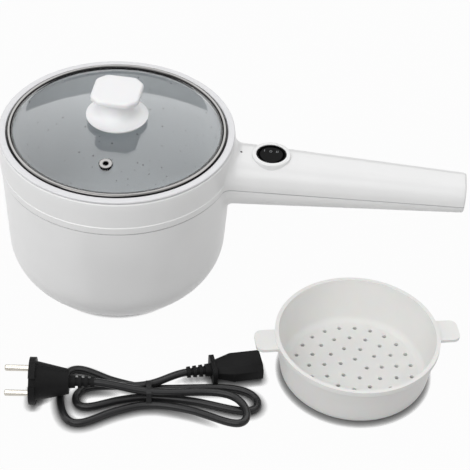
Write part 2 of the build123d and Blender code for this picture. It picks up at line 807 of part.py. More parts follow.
# Base cover: dished plate with screw posts, recesses for the feet and air slots
screw_seat = base_z + base_screw_recess
with BuildPart() as base_cover:
    with BuildSketch(Plane.XZ):
        with BuildLine():
            cover_radius = base_opening_radius - play
            rim_foot = base_ledge_height - base_thickness
            Polyline(
                (0, base_z),
                (base_edge_radius, base_z),
                (cover_radius, rim_foot),
                (cover_radius, base_ledge_height),
                (cover_radius - base_rim_wall, base_ledge_height),
                (cover_radius - base_rim_wall, base_top),
                (0, base_top),
                close=True,
            )
        make_face()
    revolve(axis=Axis.Z)
    with BuildSketch(Plane.XY.offset(base_z)):
        with stud_places:
            Circle(base_post_radius)
    extrude(amount=shield_height - base_z)
    with BuildSketch(Plane.XY.offset(base_z)):
        with stud_places:
            Circle(base_screw_head_radius + play)
    extrude(amount=base_screw_recess, mode=Mode.SUBTRACT)
    with BuildSketch(Plane.XY.offset(base_z)):
        with stud_places:
            Circle(base_screw_radius + slip)
    extrude(amount=shield_height - base_z, mode=Mode.SUBTRACT)
    with BuildSketch(Plane.XY.offset(base_z)):
        with PolarLocations(foot_circle_radius, foot_count, start_angle=180 / foot_count):
            Circle(foot_radius)
    extrude(amount=foot_recess, mode=Mode.SUBTRACT)
    with BuildSketch(Plane.XY.offset(base_z)):
        with PolarLocations(vent_slot_circle_radius, vent_slot_count, start_angle=180 / vent_slot_count):
            SlotOverall(vent_slot_length, vent_slot_width)
    extrude(amount=base_thickness, mode=Mode.SUBTRACT)

with BuildPart() as base_screws:
    with BuildSketch(Plane.XY.offset(screw_seat - base_screw_head_height)):
        with stud_places:
            Circle(base_screw_head_radius)
    extrude(amount=base_screw_head_height)
    with BuildSketch(Plane.XY.offset(screw_seat)):
        with stud_places:
            Circle(base_screw_radius)
    extrude(amount=shield_top + stud_bore_depth - play - screw_seat)

with BuildPart() as rubber_feet:
    with BuildSketch(Plane.XY):
        with PolarLocations(foot_circle_radius, foot_count, start_angle=180 / foot_count):
            Circle(foot_radius)
    extrude(amount=base_z + foot_recess)
    fillet(rubber_feet.edges().group_by(Axis.Z)[0], foot_recess)


def bend_radii(points):
    """Largest bends that the runs of a route leave room for, one for each inner point."""
    radii = []
    for before, corner, after in zip(points, points[1:], points[2:]):
        arriving = Vector(*corner) - Vector(*before)
        leaving = Vector(*after) - Vector(*corner)
        half_turn = radians(arriving.get_angle(leaving)) / 2
        radii.append(bend_share * min(arriving.length, leaving.length) / tan(half_turn))
    return radii


# Wires: through the handle, down the gap behind the inner pot and in under the plate
pin_low_z = inlet_z - inlet_earth_offset / 2
pin_high_z = inlet_z + inlet_earth_offset / 2
pin_side = inlet_pin_spacing / 2
terminal_end = switch_seat_height - terminal_length
lug_side = thermostat_lug_spacing / 2
tube_end_x = tube_ring_radius * cos(radians(tube_start))
tube_end_y = tube_ring_radius * sin(radians(tube_start))
plate_edge_x = sqrt(plate_radius**2 - earth_side**2) + play
tag_square_x = tag_end_x - wire_square_run
terminal_square_z = terminal_end - wire_square_run
lug_square_x = lug_end_x + wire_square_run
tube_square_x = tube_end_x + wire_square_run * sin(radians(tube_start))
tube_square_y = tube_end_y - wire_square_run * cos(radians(tube_start))
plate_middle_z = plate_bottom + plate_thickness / 2
wire_routes = {
    "wire_live": (
        (tag_end_x, -pin_side, pin_low_z),
        (tag_square_x, -pin_side, pin_low_z),
        (222, -7.4, 112.0),
        (198, -7.8, 109.6),
        (172, -7.6, 106.0),
        (150, -7.0, 102.4),
        (136, -3.6, 100.2),
        (switch_x + terminal_pitch + terminal_approach, -0.8, 101.4),
        (switch_x + terminal_pitch, 0, terminal_square_z),
        (switch_x + terminal_pitch, 0, terminal_end),
    ),
    "wire_neutral": (
        (tag_end_x, pin_side, pin_low_z),
        (tag_square_x, pin_side, pin_low_z),
        (222, 7.6, 112.4),
        (198, 7.9, 110.2),
        (170, 7.6, 107.4),
        (142, 7.8, 105.2),
        (114, 7.4, 102.8),
        (93, 6.8, 100.2),
        (84.4, 6.5, 95.0),
        (82.8, 6.5, 80),
        (82.4, 6.6, 58),
        (79.2, 6.6, 38),
        (68, 6.8, 24.0),
        (54, 7.2, 21.3),
        (tube_square_x, tube_square_y, tube_z),
        (tube_end_x, tube_end_y, tube_z),
    ),
    "wire_earth": (
        (tag_end_x, 0, pin_high_z),
        (tag_square_x, 0, pin_high_z),
        (230, -3.8, 117.6),
        (219, -10.2, 115.2),
        (198, -11.6, 112.8),
        (170, -11.2, 110.0),
        (142, -11.6, 107.8),
        (114, -11.2, 104.6),
        (93, -10.4, 100.8),
        (84.2, -earth_side, 95.4),
        (82.4, -earth_side, 80),
        (82.0, -earth_side, 60),
        (78.8, -earth_side, 41),
        (68, -earth_side, 28.4),
        (58, -earth_side, plate_middle_z),
        (plate_edge_x, -earth_side, plate_middle_z),
    ),
    "wire_switched": (
        (switch_x - terminal_pitch, 0, terminal_end),
        (switch_x - terminal_pitch, 0, terminal_square_z),
        (switch_x - 2 * terminal_pitch, 0.8, 101.8),
        (93, 1.4, 100.0),
        (84.4, 1.6, 95.0),
        (82.8, 1.6, 80),
        (82.4, 1.4, 58),
        (79.2, 1.6, 38),
        (68, 2.0, 24.0),
        (54, 2.4, 21.2),
        (38, 3.2, 20.4),
        (lug_square_x, lug_side, lug_z),
        (lug_end_x, lug_side, lug_z),
    ),
    "wire_link": (
        (lug_end_x, -lug_side, lug_z),
        (lug_square_x, -lug_side, lug_z),
        (32, -4.4, 20.2),
        (tube_square_x, -tube_square_y, tube_z),
        (tube_end_x, -tube_end_y, tube_z),
    ),
}
wires = {}
for name, points in wire_routes.items():
    radii = bend_radii(points)
    with BuildPart() as wire:
        with BuildLine() as route:
            FilletPolyline(*points, radius=radii)
        with BuildSketch(Plane(route.line @ 0, z_dir=route.line % 0)):
            Circle(wire_radius)
        sweep()
    print(name, "length", round(route.wires()[0].length), "tightest bend", round(min(radii), 1))
    wires[name] = wire

# Steam basket: tapered bowl with a beaded floor, drain holes and two carrying lugs
basket_plane = Plane((basket_x, basket_y, 0)).rotated((0, 0, basket_turn))
basket_axis = Axis((basket_x, basket_y, 0), (0, 0, 1))
basket_section = Plane((basket_x, basket_y, 0), x_dir=(1, 0, 0), z_dir=(0, -1, 0))
base_inside = basket_base_radius - basket_wall
with BuildPart() as steam_basket:
    with BuildSketch(basket_section) as basket_outside:
        with BuildLine():
            band_z = basket_height - basket_rim_band_height
            band_radius = basket_rim_radius - basket_rim_band
            Polyline(
                (0, 0),
                (basket_base_radius, 0),
                (band_radius, band_z),
                (basket_rim_radius, band_z),
                (basket_rim_radius, basket_height),
                (0, basket_height),
                close=True,
            )
        make_face()
        corner = basket_outside.vertices().group_by(Axis.Y)[0].sort_by(Axis.X)[-1:]
        fillet(corner, basket_base_round)
    revolve(axis=basket_axis)
    with BuildSketch(basket_plane.offset(basket_height - basket_lug_drop)) as lug_outline:
        Rectangle(2 * basket_lug_reach, basket_lug_width)
        fillet(lug_outline.vertices(), basket_lug_corner)
    extrude(amount=-basket_lug_thickness)
    with BuildSketch(basket_section) as basket_inside:
        with BuildLine():
            Polyline(
                (0, basket_floor_thickness),
                (base_inside, basket_floor_thickness),
                (band_radius - basket_wall, band_z),
                (band_radius - basket_wall, basket_height),
                (0, basket_height),
                close=True,
            )
        make_face()
        corner = basket_inside.vertices().group_by(Axis.Y)[0].sort_by(Axis.X)[-1:]
        fillet(corner, basket_base_round - basket_wall)
    revolve(axis=basket_axis, mode=Mode.SUBTRACT)
    with BuildSketch(basket_plane):
        for ring_radius, hole_count in zip(basket_ring_radii, basket_hole_counts):
            with PolarLocations(ring_radius, hole_count):
                Circle(basket_hole_radius)
    extrude(amount=basket_floor_thickness, mode=Mode.SUBTRACT)


def hank_point(distance, offset, height):
    """Point in the hank's own frame: along its length, across it and above the table."""
    turn = radians(hank_turn)
    x = hank_x + distance * cos(turn) - offset * sin(turn)
    y = hank_y + distance * sin(turn) + offset * cos(turn)
    return Vector(x, y, height)


def level_direction(turn):
    """Level direction at an angle to the hank's length."""
    heading = radians(hank_turn + turn)
    return Vector(cos(heading), sin(heading), 0)


def relief_points():
    """Half profile of the ribbed strain relief, from the cord's side."""
    points = [(0, 0), (0, relief_end_radius)]
    for rib in range(relief_rib_count):
        start = relief_rib_width + rib * (relief_rib_width + relief_rib_gap)
        radius = relief_end_radius + (relief_radius - relief_end_radius) * start / relief_length
        groove = radius - relief_rib_depth
        end = start + relief_rib_gap
        points += [(start, radius), (start, groove), (end, groove), (end, radius)]
    points.append((relief_length, relief_radius))
    return points


up = Vector(0, 0, 1)
plug_tail = hank_point(plug_tail_distance, plug_tail_offset, plug_axis_height)
plug_axis = level_direction(plug_turn) * -1
plug_side = up.cross(plug_axis)
connector_tail = hank_point(connector_tail_distance, connector_tail_offset, connector_axis_height)
connector_axis = level_direction(connector_turn)
connector_side = up.cross(connector_axis)


def plug_plane(along):
    """Plane square to the plug's axis, at a length from its tail."""
    return Plane(plug_tail + plug_axis * along, x_dir=plug_side, z_dir=plug_axis)


def connector_plane(along):
    """Plane square to the connector's axis, at a length from its tail."""
    return Plane(connector_tail + connector_axis * along, x_dir=connector_side, z_dir=connector_axis)


plug_face = relief_length + plug_body_length + plug_flange_thickness
with BuildPart() as mains_plug:
    with BuildSketch(Plane(plug_tail, x_dir=plug_axis, z_dir=plug_axis.cross(up))):
        with BuildLine():
            back = relief_length + plug_body_length
            Polyline(
                *relief_points(),
                (relief_length, plug_waist_radius),
                (back, plug_body_radius),
                (back, plug_flange_radius),
                (plug_face, plug_flange_radius),
                (plug_face, 0),
                close=True,
            )
        make_face()
    revolve(axis=Axis(plug_tail, plug_axis))
    with BuildSketch(plug_plane(back)):
        with PolarLocations(plug_flange_radius, 2, start_angle=plug_roll - 90):
            Rectangle(2 * plug_notch_depth, plug_notch_width)
    extrude(amount=plug_flange_thickness, mode=Mode.SUBTRACT)

with BuildPart() as plug_pins:
    with BuildSketch(plug_plane(plug_face)):
        with PolarLocations(plug_pin_spacing / 2, 2, start_angle=plug_roll):
            Circle(plug_pin_radius)
    extrude(amount=plug_pin_length)
    pin_tips = plug_pins.faces().sort_by(Axis(plug_tail, plug_axis))[-2:]
    fillet(pin_tips.edges(), plug_pin_round)


def connector_outline(along):
    """Outline of the connector's block, with the two cut corners that key it."""
    with BuildSketch(connector_plane(along)) as outline:
        Rectangle(connector_width, connector_height)
        upper = outline.vertices().group_by(Axis.Z)[-1]
        chamfer(upper, connector_key)
        fillet(outline.vertices(), connector_corner)
    return outline.sketch


contact_places = (
    (-contact_spacing / 2, -contact_earth_offset / 2),
    (contact_spacing / 2, -contact_earth_offset / 2),
    (0, contact_earth_offset / 2),
)
flange_middle = relief_length + connector_flange_thickness / 2
shoulder_start = relief_length + connector_flange_thickness
block_start = shoulder_start + connector_shoulder_length
connector_face = block_start + connector_block_length
with BuildPart() as lead_connector:
    with BuildSketch(connector_plane(flange_middle)) as shoulder_foot:
        Rectangle(connector_shoulder_width, connector_shoulder_height)
        chamfer(shoulder_foot.vertices().group_by(Axis.Z)[-1], connector_key)
        fillet(shoulder_foot.vertices(), connector_corner)
    block_back = connector_outline(block_start)
    loft([shoulder_foot.sketch, block_back, connector_outline(connector_face)], ruled=True)
    with BuildSketch(connector_plane(relief_length)):
        RectangleRounded(connector_flange_width, connector_flange_height, connector_flange_corner)
    extrude(amount=connector_flange_thickness)
    with BuildSketch(connector_plane(connector_face)):
        with Locations(*contact_places):
            Rectangle(contact_slot_width, contact_slot_height)
    extrude(amount=-contact_depth, mode=Mode.SUBTRACT)
    with BuildSketch(Plane(connector_tail, x_dir=connector_axis, z_dir=connector_axis.cross(up))):
        with BuildLine():
            core = ((shoulder_start, relief_radius), (shoulder_start, 0))
            Polyline(*relief_points(), *core, close=True)
        make_face()
    revolve(axis=Axis(connector_tail, connector_axis))

with BuildPart() as connector_contacts:
    with BuildSketch(connector_plane(connector_face - contact_depth)):
        with Locations(*contact_places):
            Rectangle(contact_slot_width, contact_slot_height)
            inside_width = contact_slot_width - 2 * contact_wall
            Rectangle(inside_width, contact_slot_height - 2 * contact_wall, mode=Mode.SUBTRACT)
    extrude(amount=contact_depth - contact_setback)

# Hank: strands stacked at the tie in slots given as offset and height, and the loops between them
pitch = cord_diameter + strand_gap
rest_z = cord_diameter / 2 + slip
first_z = rest_z + tie_thickness + tie_clearance
second_z = first_z + pitch
strand_slots = (
    (pitch / 2, second_z),
    (0, first_z),
    (pitch, first_z),
    (-pitch, first_z),
    (-pitch / 2, second_z),
)


def loop_at(number, t):
    """Point of a loop at share t of its way from one slot to the next."""
    (start_offset, start_z) = strand_slots[number]
    (end_offset, end_z) = strand_slots[number + 1]
    side = -1 if number % 2 == 0 else 1
    swell = max(sin(pi * t), 0)
    distance = tie_distance + side * loop_reach[number] * swell**loop_fullness
    offset = tie_middle + start_offset + (end_offset - start_offset) * t
    offset += loop_half_width[number] * sin(2 * pi * t) + loop_middle[number] * swell
    slot_z = start_z + (end_z - start_z) * t
    tip_z = rest_z + loop_lift[number]
    height = tip_z + (slot_z - tip_z) * (1 - swell) ** loop_settle
    return hank_point(distance, offset, height)


def arc_meeting(start, start_heading, end, end_heading):
    """Point where two tangent arcs between two directed points meet."""
    span = end - start
    spread = 1 - start_heading.dot(end_heading)
    along = span.dot(start_heading + end_heading)
    reach = (sqrt(along**2 + 2 * spread * span.dot(span)) - along) / (2 * spread)
    return (start + end + (start_heading - end_heading) * reach) / 2


# Directed points of the lead, from the connector round the loops to the plug
hank_axis = level_direction(0)
directed = [(connector_tail - connector_axis * cord_diameter, connector_axis * -1)]
directed.append((loop_at(0, 0), hank_axis * -1))
for number in range(len(loop_reach)):
    for step in range(1, loop_point_count):
        share = step / loop_point_count
        before = loop_at(number, share - loop_probe)
        after = loop_at(number, share + loop_probe)
        directed.append((loop_at(number, share), (after - before).normalized()))
    arriving = hank_axis * (1 if number % 2 == 0 else -1)
    directed.append((loop_at(number, 1), arriving))
directed.append((plug_tail - plug_axis * cord_diameter, plug_axis))

with BuildPart() as power_lead:
    with BuildLine() as lead_path:
        Line(connector_tail, directed[0][0])
        for (start, start_heading), (end, end_heading) in zip(directed, directed[1:]):
            meeting = arc_meeting(start, start_heading, end, end_heading)
            leaving_arc = TangentArc(start, meeting, tangent=start_heading)
            TangentArc(meeting, end, tangent=leaving_arc % 1)
        Line(directed[-1][0], plug_tail)
    with BuildSketch(Plane(lead_path.line @ 0, z_dir=lead_path.line % 0)):
        Circle(cord_diameter / 2)
    sweep()

# Length of the lead, its tightest bend and its least gap to itself, in millimetres
lead_wire = lead_path.wires()[0]
lead_length = lead_wire.length
lead_bends = [edge.radius for edge in lead_path.edges().filter_by(GeomType.CIRCLE)]
samples = [lead_wire.position_at(place / gap_sample_count) for place in range(gap_sample_count + 1)]
apart = ceil(gap_sample_count * 2 * cord_diameter / lead_length)
least_gap = min(
    (samples[one] - samples[other]).length - cord_diameter
    for one in range(len(samples))
    for other in range(one + apart, len(samples))
)
swept = power_lead.part.volume / (pi * cord_diameter**2 / 4 * lead_length)
print("lead", round(lead_length), "mm, tightest bend", round(min(lead_bends), 1))
print("least gap of the lead to itself", round(least_gap, 2), "and swept volume share", round(swept, 4))


def tie_outline(clearance):
    """Hull round the strands at the tie, at a distance from them."""
    tie_plane = Plane(hank_point(tie_distance, tie_middle, 0), x_dir=hank_side, z_dir=hank_axis)
    with BuildSketch(tie_plane) as outline:
        with Locations(*strand_slots):
            Circle(cord_diameter / 2 + clearance)
        make_hull()
    return outline.sketch


hank_side = up.cross(hank_axis)
with BuildPart() as cord_tie:
    extrude(tie_outline(tie_clearance + tie_thickness), amount=tie_width / 2, both=True)
    extrude(tie_outline(tie_clearance), amount=tie_width, both=True, mode=Mode.SUBTRACT)

nodes = {
    "upper_housing": upper_housing,
    "lower_housing": lower_housing,
    "handle_screws": handle_screws,
    "rim_collar": rim_collar,
    "inner_pot": inner_pot,
    "lid_hoop": lid_hoop,
    "lid_glass": lid_glass,
    "vent_grommet": vent_grommet,
    "knob_gasket": knob_gasket,
    "lid_knob": lid_knob,
    "knob_washer": knob_washer,
    "knob_screw": knob_screw,
    "switch_housing": switch_housing,
    "switch_rocker": switch_rocker,
    "switch_terminals": switch_terminals,
    "indicator_lamp": indicator_lamp,
    "power_inlet": power_inlet,
    "inlet_pins": inlet_pins,
    "heating_plate": heating_plate,
    "heating_tube": heating_tube,
    "thermostat": thermostat,
    "thermal_fuse": thermal_fuse,
    "heat_shield": heat_shield,
    "base_cover": base_cover,
    "base_screws": base_screws,
    "rubber_feet": rubber_feet,
    "steam_basket": steam_basket,
    "power_lead": power_lead,
    "cord_tie": cord_tie,
    "mains_plug": mains_plug,
    "plug_pins": plug_pins,
    "lead_connector": lead_connector,
    "connector_contacts": connector_contacts,
    **wires,
}
for name, block in nodes.items():
    block.part.label = name
    export_step(block.part, f"parts/{name}.step")
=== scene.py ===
"""Looks of an electric pot with a long handle, a glass lid, a steam basket and a detachable lead.

Metres, in the frame of the part: the origin is on the table under the pot's axis, +X runs along
the handle and +Z is up. Every piece keeps its place in its mesh, so object coordinates are the
part's own coordinates.
"""

import logging
from dataclasses import dataclass, field
from enum import Enum
from math import atan2, cos, degrees, pi, radians, sin, sqrt
from typing import Any, Optional, Sequence, Union

import bmesh
import bpy
import numpy as np
from mathutils import Matrix, Vector


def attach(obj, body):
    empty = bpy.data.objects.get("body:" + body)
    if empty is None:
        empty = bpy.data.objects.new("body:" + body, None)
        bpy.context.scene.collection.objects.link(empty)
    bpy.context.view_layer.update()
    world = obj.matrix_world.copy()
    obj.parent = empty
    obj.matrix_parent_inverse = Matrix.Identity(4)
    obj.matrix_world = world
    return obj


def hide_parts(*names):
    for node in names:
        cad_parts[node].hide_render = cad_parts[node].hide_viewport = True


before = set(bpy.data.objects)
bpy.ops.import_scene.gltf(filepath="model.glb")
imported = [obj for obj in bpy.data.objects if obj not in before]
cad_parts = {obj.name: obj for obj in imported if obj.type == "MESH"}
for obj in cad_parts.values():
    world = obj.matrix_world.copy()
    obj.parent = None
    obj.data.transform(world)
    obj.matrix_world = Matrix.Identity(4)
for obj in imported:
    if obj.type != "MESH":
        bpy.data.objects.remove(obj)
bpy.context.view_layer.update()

log = logging.getLogger("electric_pot")

Colour = tuple[float, float, float, float]
Corner = tuple[float, float, float]
Term = Union["Shade", float, Sequence[float]]

WELD = 1e-6
POINT_ONLY = 1e-9
NOISE_MIDDLE = 0.5

# Display curve: its full value, the end and slope of its straight toe, and its bend above that
DISPLAY_FULL = 255
DISPLAY_KNEE = 0.04045
DISPLAY_SLOPE = 12.92
DISPLAY_OFFSET = 0.055
DISPLAY_POWER = 2.4

# Sizes that a finish shares with the piece it is for, or two pieces with each other
SEAM_HEIGHT = 0.1145
SEAM_SHADE_HALF = 0.0007
SEAT_HEIGHT = 0.142
HOOP_INNER = 0.0825
HOOP_OUTER = 0.0864
VENT_DISTANCE = 0.0545
VENT_HOLE = 0.0017
VENT_FLANGE = 0.0054


class Body(Enum):
    """Moving bodies of the part."""

    POT = "pot"
    LID = "lid"
    ROCKER = "rocker"
    BASKET = "basket"


class Ray(Enum):
    """Kinds of light path that the studio and the glass tell apart."""

    CAMERA = "Is Camera Ray"
    GLOSSY = "Is Glossy Ray"
    TRANSMISSION = "Is Transmission Ray"
    SHADOW = "Is Shadow Ray"


def paint(red: int, green: int, blue: int) -> Colour:
    """Scene colour of a display colour: each channel taken back through the display's curve.

    Args:
        red: Display red, 0 to 255.
        green: Display green, 0 to 255.
        blue: Display blue, 0 to 255.

    Returns:
        Linear red, green, blue and an alpha of 1.
    """
    share = np.array([red, green, blue]) / DISPLAY_FULL
    bend = ((share + DISPLAY_OFFSET) / (1 + DISPLAY_OFFSET)) ** DISPLAY_POWER
    linear = np.where(share <= DISPLAY_KNEE, share / DISPLAY_SLOPE, bend)
    return (*linear.tolist(), 1.0)


class Shade:
    """One socket of a graph, with arithmetic that adds Math nodes."""

    def __init__(self, graph: "Graph", socket: Optional[bpy.types.NodeSocket]) -> None:
        """Wraps a socket of a graph."""
        self.graph = graph
        self.socket = socket

    def _math(self, operation: str, first: Term, second: Term) -> "Shade":
        """Adds one Math node for two values."""
        return self.graph.add("ShaderNodeMath", {"operation": operation}, {0: first, 1: second})

    def __add__(self, other: Term) -> "Shade":
        """Sum of two values."""
        return self._math("ADD", self, other)

    def __radd__(self, other: Term) -> "Shade":
        """Sum with a number on the left."""
        return self._math("ADD", other, self)

    def __sub__(self, other: Term) -> "Shade":
        """Difference of two values."""
        return self._math("SUBTRACT", self, other)

    def __rsub__(self, other: Term) -> "Shade":
        """Difference from a number on the left."""
        return self._math("SUBTRACT", other, self)

    def __mul__(self, other: Term) -> "Shade":
        """Product of two values."""
        return self._math("MULTIPLY", self, other)

    def __pow__(self, other: Term) -> "Shade":
        """Power of a value."""
        return self._math("POWER", self, other)

    def __gt__(self, other: Term) -> "Shade":
        """1 where the value is greater, and 0 elsewhere."""
        return self._math("GREATER_THAN", self, other)

    def most(self, other: Term) -> "Shade":
        """Greater of two values."""
        return self._math("MAXIMUM", self, other)

    def other(self, output: str) -> "Shade":
        """Another output of the same node."""
        return Shade(self.graph, self.socket.node.outputs[output])


class Graph:
    """Node tree of one material or of the world, written node by node."""

    def __init__(self, tree: bpy.types.NodeTree) -> None:
        """Starts from an empty tree."""
        self.tree = tree
        tree.nodes.clear()

    def add(
        self,
        kind: str,
        settings: Optional[dict[str, Any]] = None,
        inputs: Optional[dict[Union[int, str], Term]] = None,
        output: Union[int, str] = 0,
    ) -> Shade:
        """Adds a node, sets it and connects it.

        Args:
            kind: Type name of the node.
            settings: Properties of the node, set before its sockets.
            inputs: Values or links of its input sockets.
            output: Output socket to hand on.

        Returns:
            The chosen output, or an empty shade where the node has none.
        """
        node = self.tree.nodes.new(kind)
        for name, value in (settings or {}).items():
            setattr(node, name, value)
        for name, value in (inputs or {}).items():
            if isinstance(value, Shade):
                self.tree.links.new(value.socket, node.inputs[name])
            else:
                node.inputs[name].default_value = value
        return Shade(self, node.outputs[output] if len(node.outputs) else None)

    def place(self) -> Shade:
        """Object coordinates, which are metres in the part's frame."""
        return self.add("ShaderNodeTexCoord", output="Object")

    def axes(self, vector: Shade) -> tuple[Shade, Shade, Shade]:
        """The three parts of a vector."""
        first = self.add("ShaderNodeSeparateXYZ", inputs={"Vector": vector}, output="X")
        return first, first.other("Y"), first.other("Z")

    def scaled(self, vector: Shade, factors: Sequence[float]) -> Shade:
        """Vector with each part times its own factor."""
        operation = {"operation": "MULTIPLY"}
        return self.add("ShaderNodeVectorMath", operation, {0: vector, 1: factors}, "Vector")

    def noise(self, where: Shade, size: float, detail: float = 2.0) -> Shade:
        """Noise from 0 to 1 whose features are about a size across."""
        inputs = {"Vector": where, "Scale": 1 / size, "Detail": detail}
        return self.add("ShaderNodeTexNoise", inputs=inputs)

    def cells(self, where: Shade, size: float) -> Shade:
        """Distance from the middle of scattered cells of a size, in shares of that size."""
        inputs = {"Vector": where, "Scale": 1 / size}
        return self.add("ShaderNodeTexVoronoi", inputs=inputs, output="Distance")

    def step(self, value: Shade, low: float, high: float) -> Shade:
        """Smooth step from 0 at low to 1 at high."""
        smooth = {"interpolation_type": "SMOOTHSTEP"}
        return self.add("ShaderNodeMapRange", smooth, {0: value, 1: low, 2: high})

    def blend(self, factor: Term, first: Term, second: Term) -> Shade:
        """Colour between two colours."""
        return self.add("ShaderNodeMix", {"data_type": "RGBA"}, {0: factor, 6: first, 7: second}, 2)

    def bump(self, height: Shade, depth: float) -> Shade:
        """Normal of a relief that is depth metres from its low to its high places."""
        inputs = {"Height": height, "Distance": depth, "Strength": 1.0}
        return self.add("ShaderNodeBump", inputs=inputs)


@dataclass(frozen=True)
class Finish:
    """A surface finish: its material's name, the record's slot and its main colour."""

    name: str
    slot: str
    colour: Colour

    def write(self, graph: Graph) -> Shade:
        """Writes the finish's shader.

        Args:
            graph: Empty graph of the new material.

        Returns:
            Shader that the material shows.
        """
        raise NotImplementedError

    def material(self) -> bpy.types.Material:
        """Makes the finish's material the first time it is asked for.

        Returns:
            The material, found by the finish's name after that.
        """
        found = bpy.data.materials.get(self.name)
        if found:
            return found
        material = bpy.data.materials.new(self.name)
        material.use_nodes = True
        graph = Graph(material.node_tree)
        graph.add("ShaderNodeOutputMaterial", inputs={"Surface": self.write(graph)})
        return material


@dataclass(frozen=True)
class Moulding(Finish):
    """Moulded or lacquered plastic: faint clouds of colour, an orange-peel skin and rubbed patches."""

    shade: Colour
    roughness: float = 0.35
    cloud_size: float = 0.05
    cloud_range: tuple[float, float] = (0.3, 0.7)
    cloud_depth: float = 0.5
    cloud_gloss: float = 0.5
    peel_size: float = 0.0016
    peel_depth: float = 0.00002
    rub_size: float = 0.012
    rub_range: tuple[float, float] = (0.5, 0.75)
    rub_gloss: float = 0.08
    coat: float = 0.0
    coat_roughness: float = 0.08
    gloss: float = 0.3
    translucence: float = 0.0
    scatter_depth: float = 0.002
    # Painted shade along level joints: each joint's height and half width, the shade's colour, how far it
    # darkens and its full core.
    shaded_seams: tuple[tuple[float, float], ...] = ()
    seam_shade_colour: Colour = paint(140, 140, 142)
    seam_shade_depth: float = 0.6
    seam_shade_core: float = 0.4

    def painted_seam_shade(self, graph: Graph, where: Shade, ground: Shade) -> Shade:
        """Colour with painted shade along the level joints, standing for the shadow in their grooves.

        Each joint is a height and a half width: full shade over the core's share of that width,
        none past it.

        Args:
            graph: Graph of the material.
            where: Coordinates.
            ground: Colour of the plastic.

        Returns:
            Colour with the joints.
        """
        # Painted shade: each joint darkens the colour over a band round its height.
        for middle, half in self.shaded_seams:
            height = graph.axes(where)[2]
            off = (height - middle).most(middle - height)
            line = 1 - graph.step(off, self.seam_shade_core * half, half)
            ground = graph.blend(line * self.seam_shade_depth, ground, self.seam_shade_colour)
        return ground

    def write(self, graph: Graph) -> Shade:
        """Colour and roughness drift with slow noise, and fine noise makes the skin's relief.

        Args:
            graph: Empty graph of the new material.

        Returns:
            Shader of the plastic.
        """
        where = graph.place()
        cloud = graph.step(graph.noise(where, self.cloud_size, detail=3.0), *self.cloud_range)
        rub = graph.step(graph.noise(where, self.rub_size, detail=5.0), *self.rub_range)
        peel = graph.noise(where, self.peel_size, detail=1.0)
        ground = graph.blend(cloud * self.cloud_depth, self.colour, self.shade)
        return graph.add(
            "ShaderNodeBsdfPrincipled",
            inputs={
                "Base Color": self.painted_seam_shade(graph, where, ground),
                "Roughness": self.roughness + (rub - cloud * self.cloud_gloss) * self.rub_gloss,
                "Specular IOR Level": self.gloss,
                "Normal": graph.bump(peel, self.peel_depth),
                "Coat Weight": self.coat,
                "Coat Roughness": self.coat_roughness,
                "Subsurface Weight": self.translucence,
                "Subsurface Scale": self.scatter_depth,
            },
        )


@dataclass(frozen=True)
class SpeckledCoating(Finish):
    """Grey non-stick coating with scattered dark dots and paler flecks in a finely pebbled skin."""

    dot: Colour
    fleck: Colour
    dot_spacing: float = 0.0054
    dot_radius: float = 0.00115
    dot_bare: float = 0.35
    dot_depth: float = 0.8
    dot_relief: float = 0.5
    fleck_spacing: float = 0.0021
    fleck_radius: float = 0.0003
    fleck_bare: float = 0.6
    fleck_depth: float = 0.35
    spot_edge: float = 0.2
    cloud_size: float = 0.03
    cloud_depth: float = 0.25
    pebble: float = 0.0004
    pebble_depth: float = 0.00001
    roughness: float = 0.7
    roughness_drift: float = 0.1
    gloss: float = 0.3

    def spots(self, graph: Graph, where: Shade, spacing: float, radius: float, share: float) -> Shade:
        """Mask of round spots, one in some of the scattered cells.

        Args:
            graph: Graph of the material.
            where: Coordinates.
            spacing: Size of a cell.
            radius: Largest radius of a spot.
            share: Share of the cells that stay bare.

        Returns:
            1 in a spot and 0 elsewhere.
        """
        distance = graph.cells(where, spacing)
        lot = graph.axes(distance.other("Color"))[0]
        size = lot * (radius / spacing)
        inside = graph.step(size - distance, 0.0, self.spot_edge * radius / spacing)
        return inside * (lot > share)

    def write(self, graph: Graph) -> Shade:
        """Spots of two kinds over a slowly clouded grey, with a pebbled relief.

        Args:
            graph: Empty graph of the new material.

        Returns:
            Shader of the coating.
        """
        where = graph.place()
        dots = self.spots(graph, where, self.dot_spacing, self.dot_radius, self.dot_bare)
        flecks = self.spots(graph, where, self.fleck_spacing, self.fleck_radius, self.fleck_bare)
        cloud = graph.noise(where, self.cloud_size, detail=3.0)
        ground = graph.blend(cloud * self.cloud_depth, self.colour, self.fleck)
        flecked = graph.blend(flecks * self.fleck_depth, ground, self.fleck)
        relief = graph.noise(where, self.pebble) + dots * self.dot_relief
        return graph.add(
            "ShaderNodeBsdfPrincipled",
            inputs={
                "Base Color": graph.blend(dots * self.dot_depth, flecked, self.dot),
                "Roughness": self.roughness + (cloud - dots) * self.roughness_drift,
                "Specular IOR Level": self.gloss,
                "Normal": graph.bump(relief, self.pebble_depth),
            },
        )


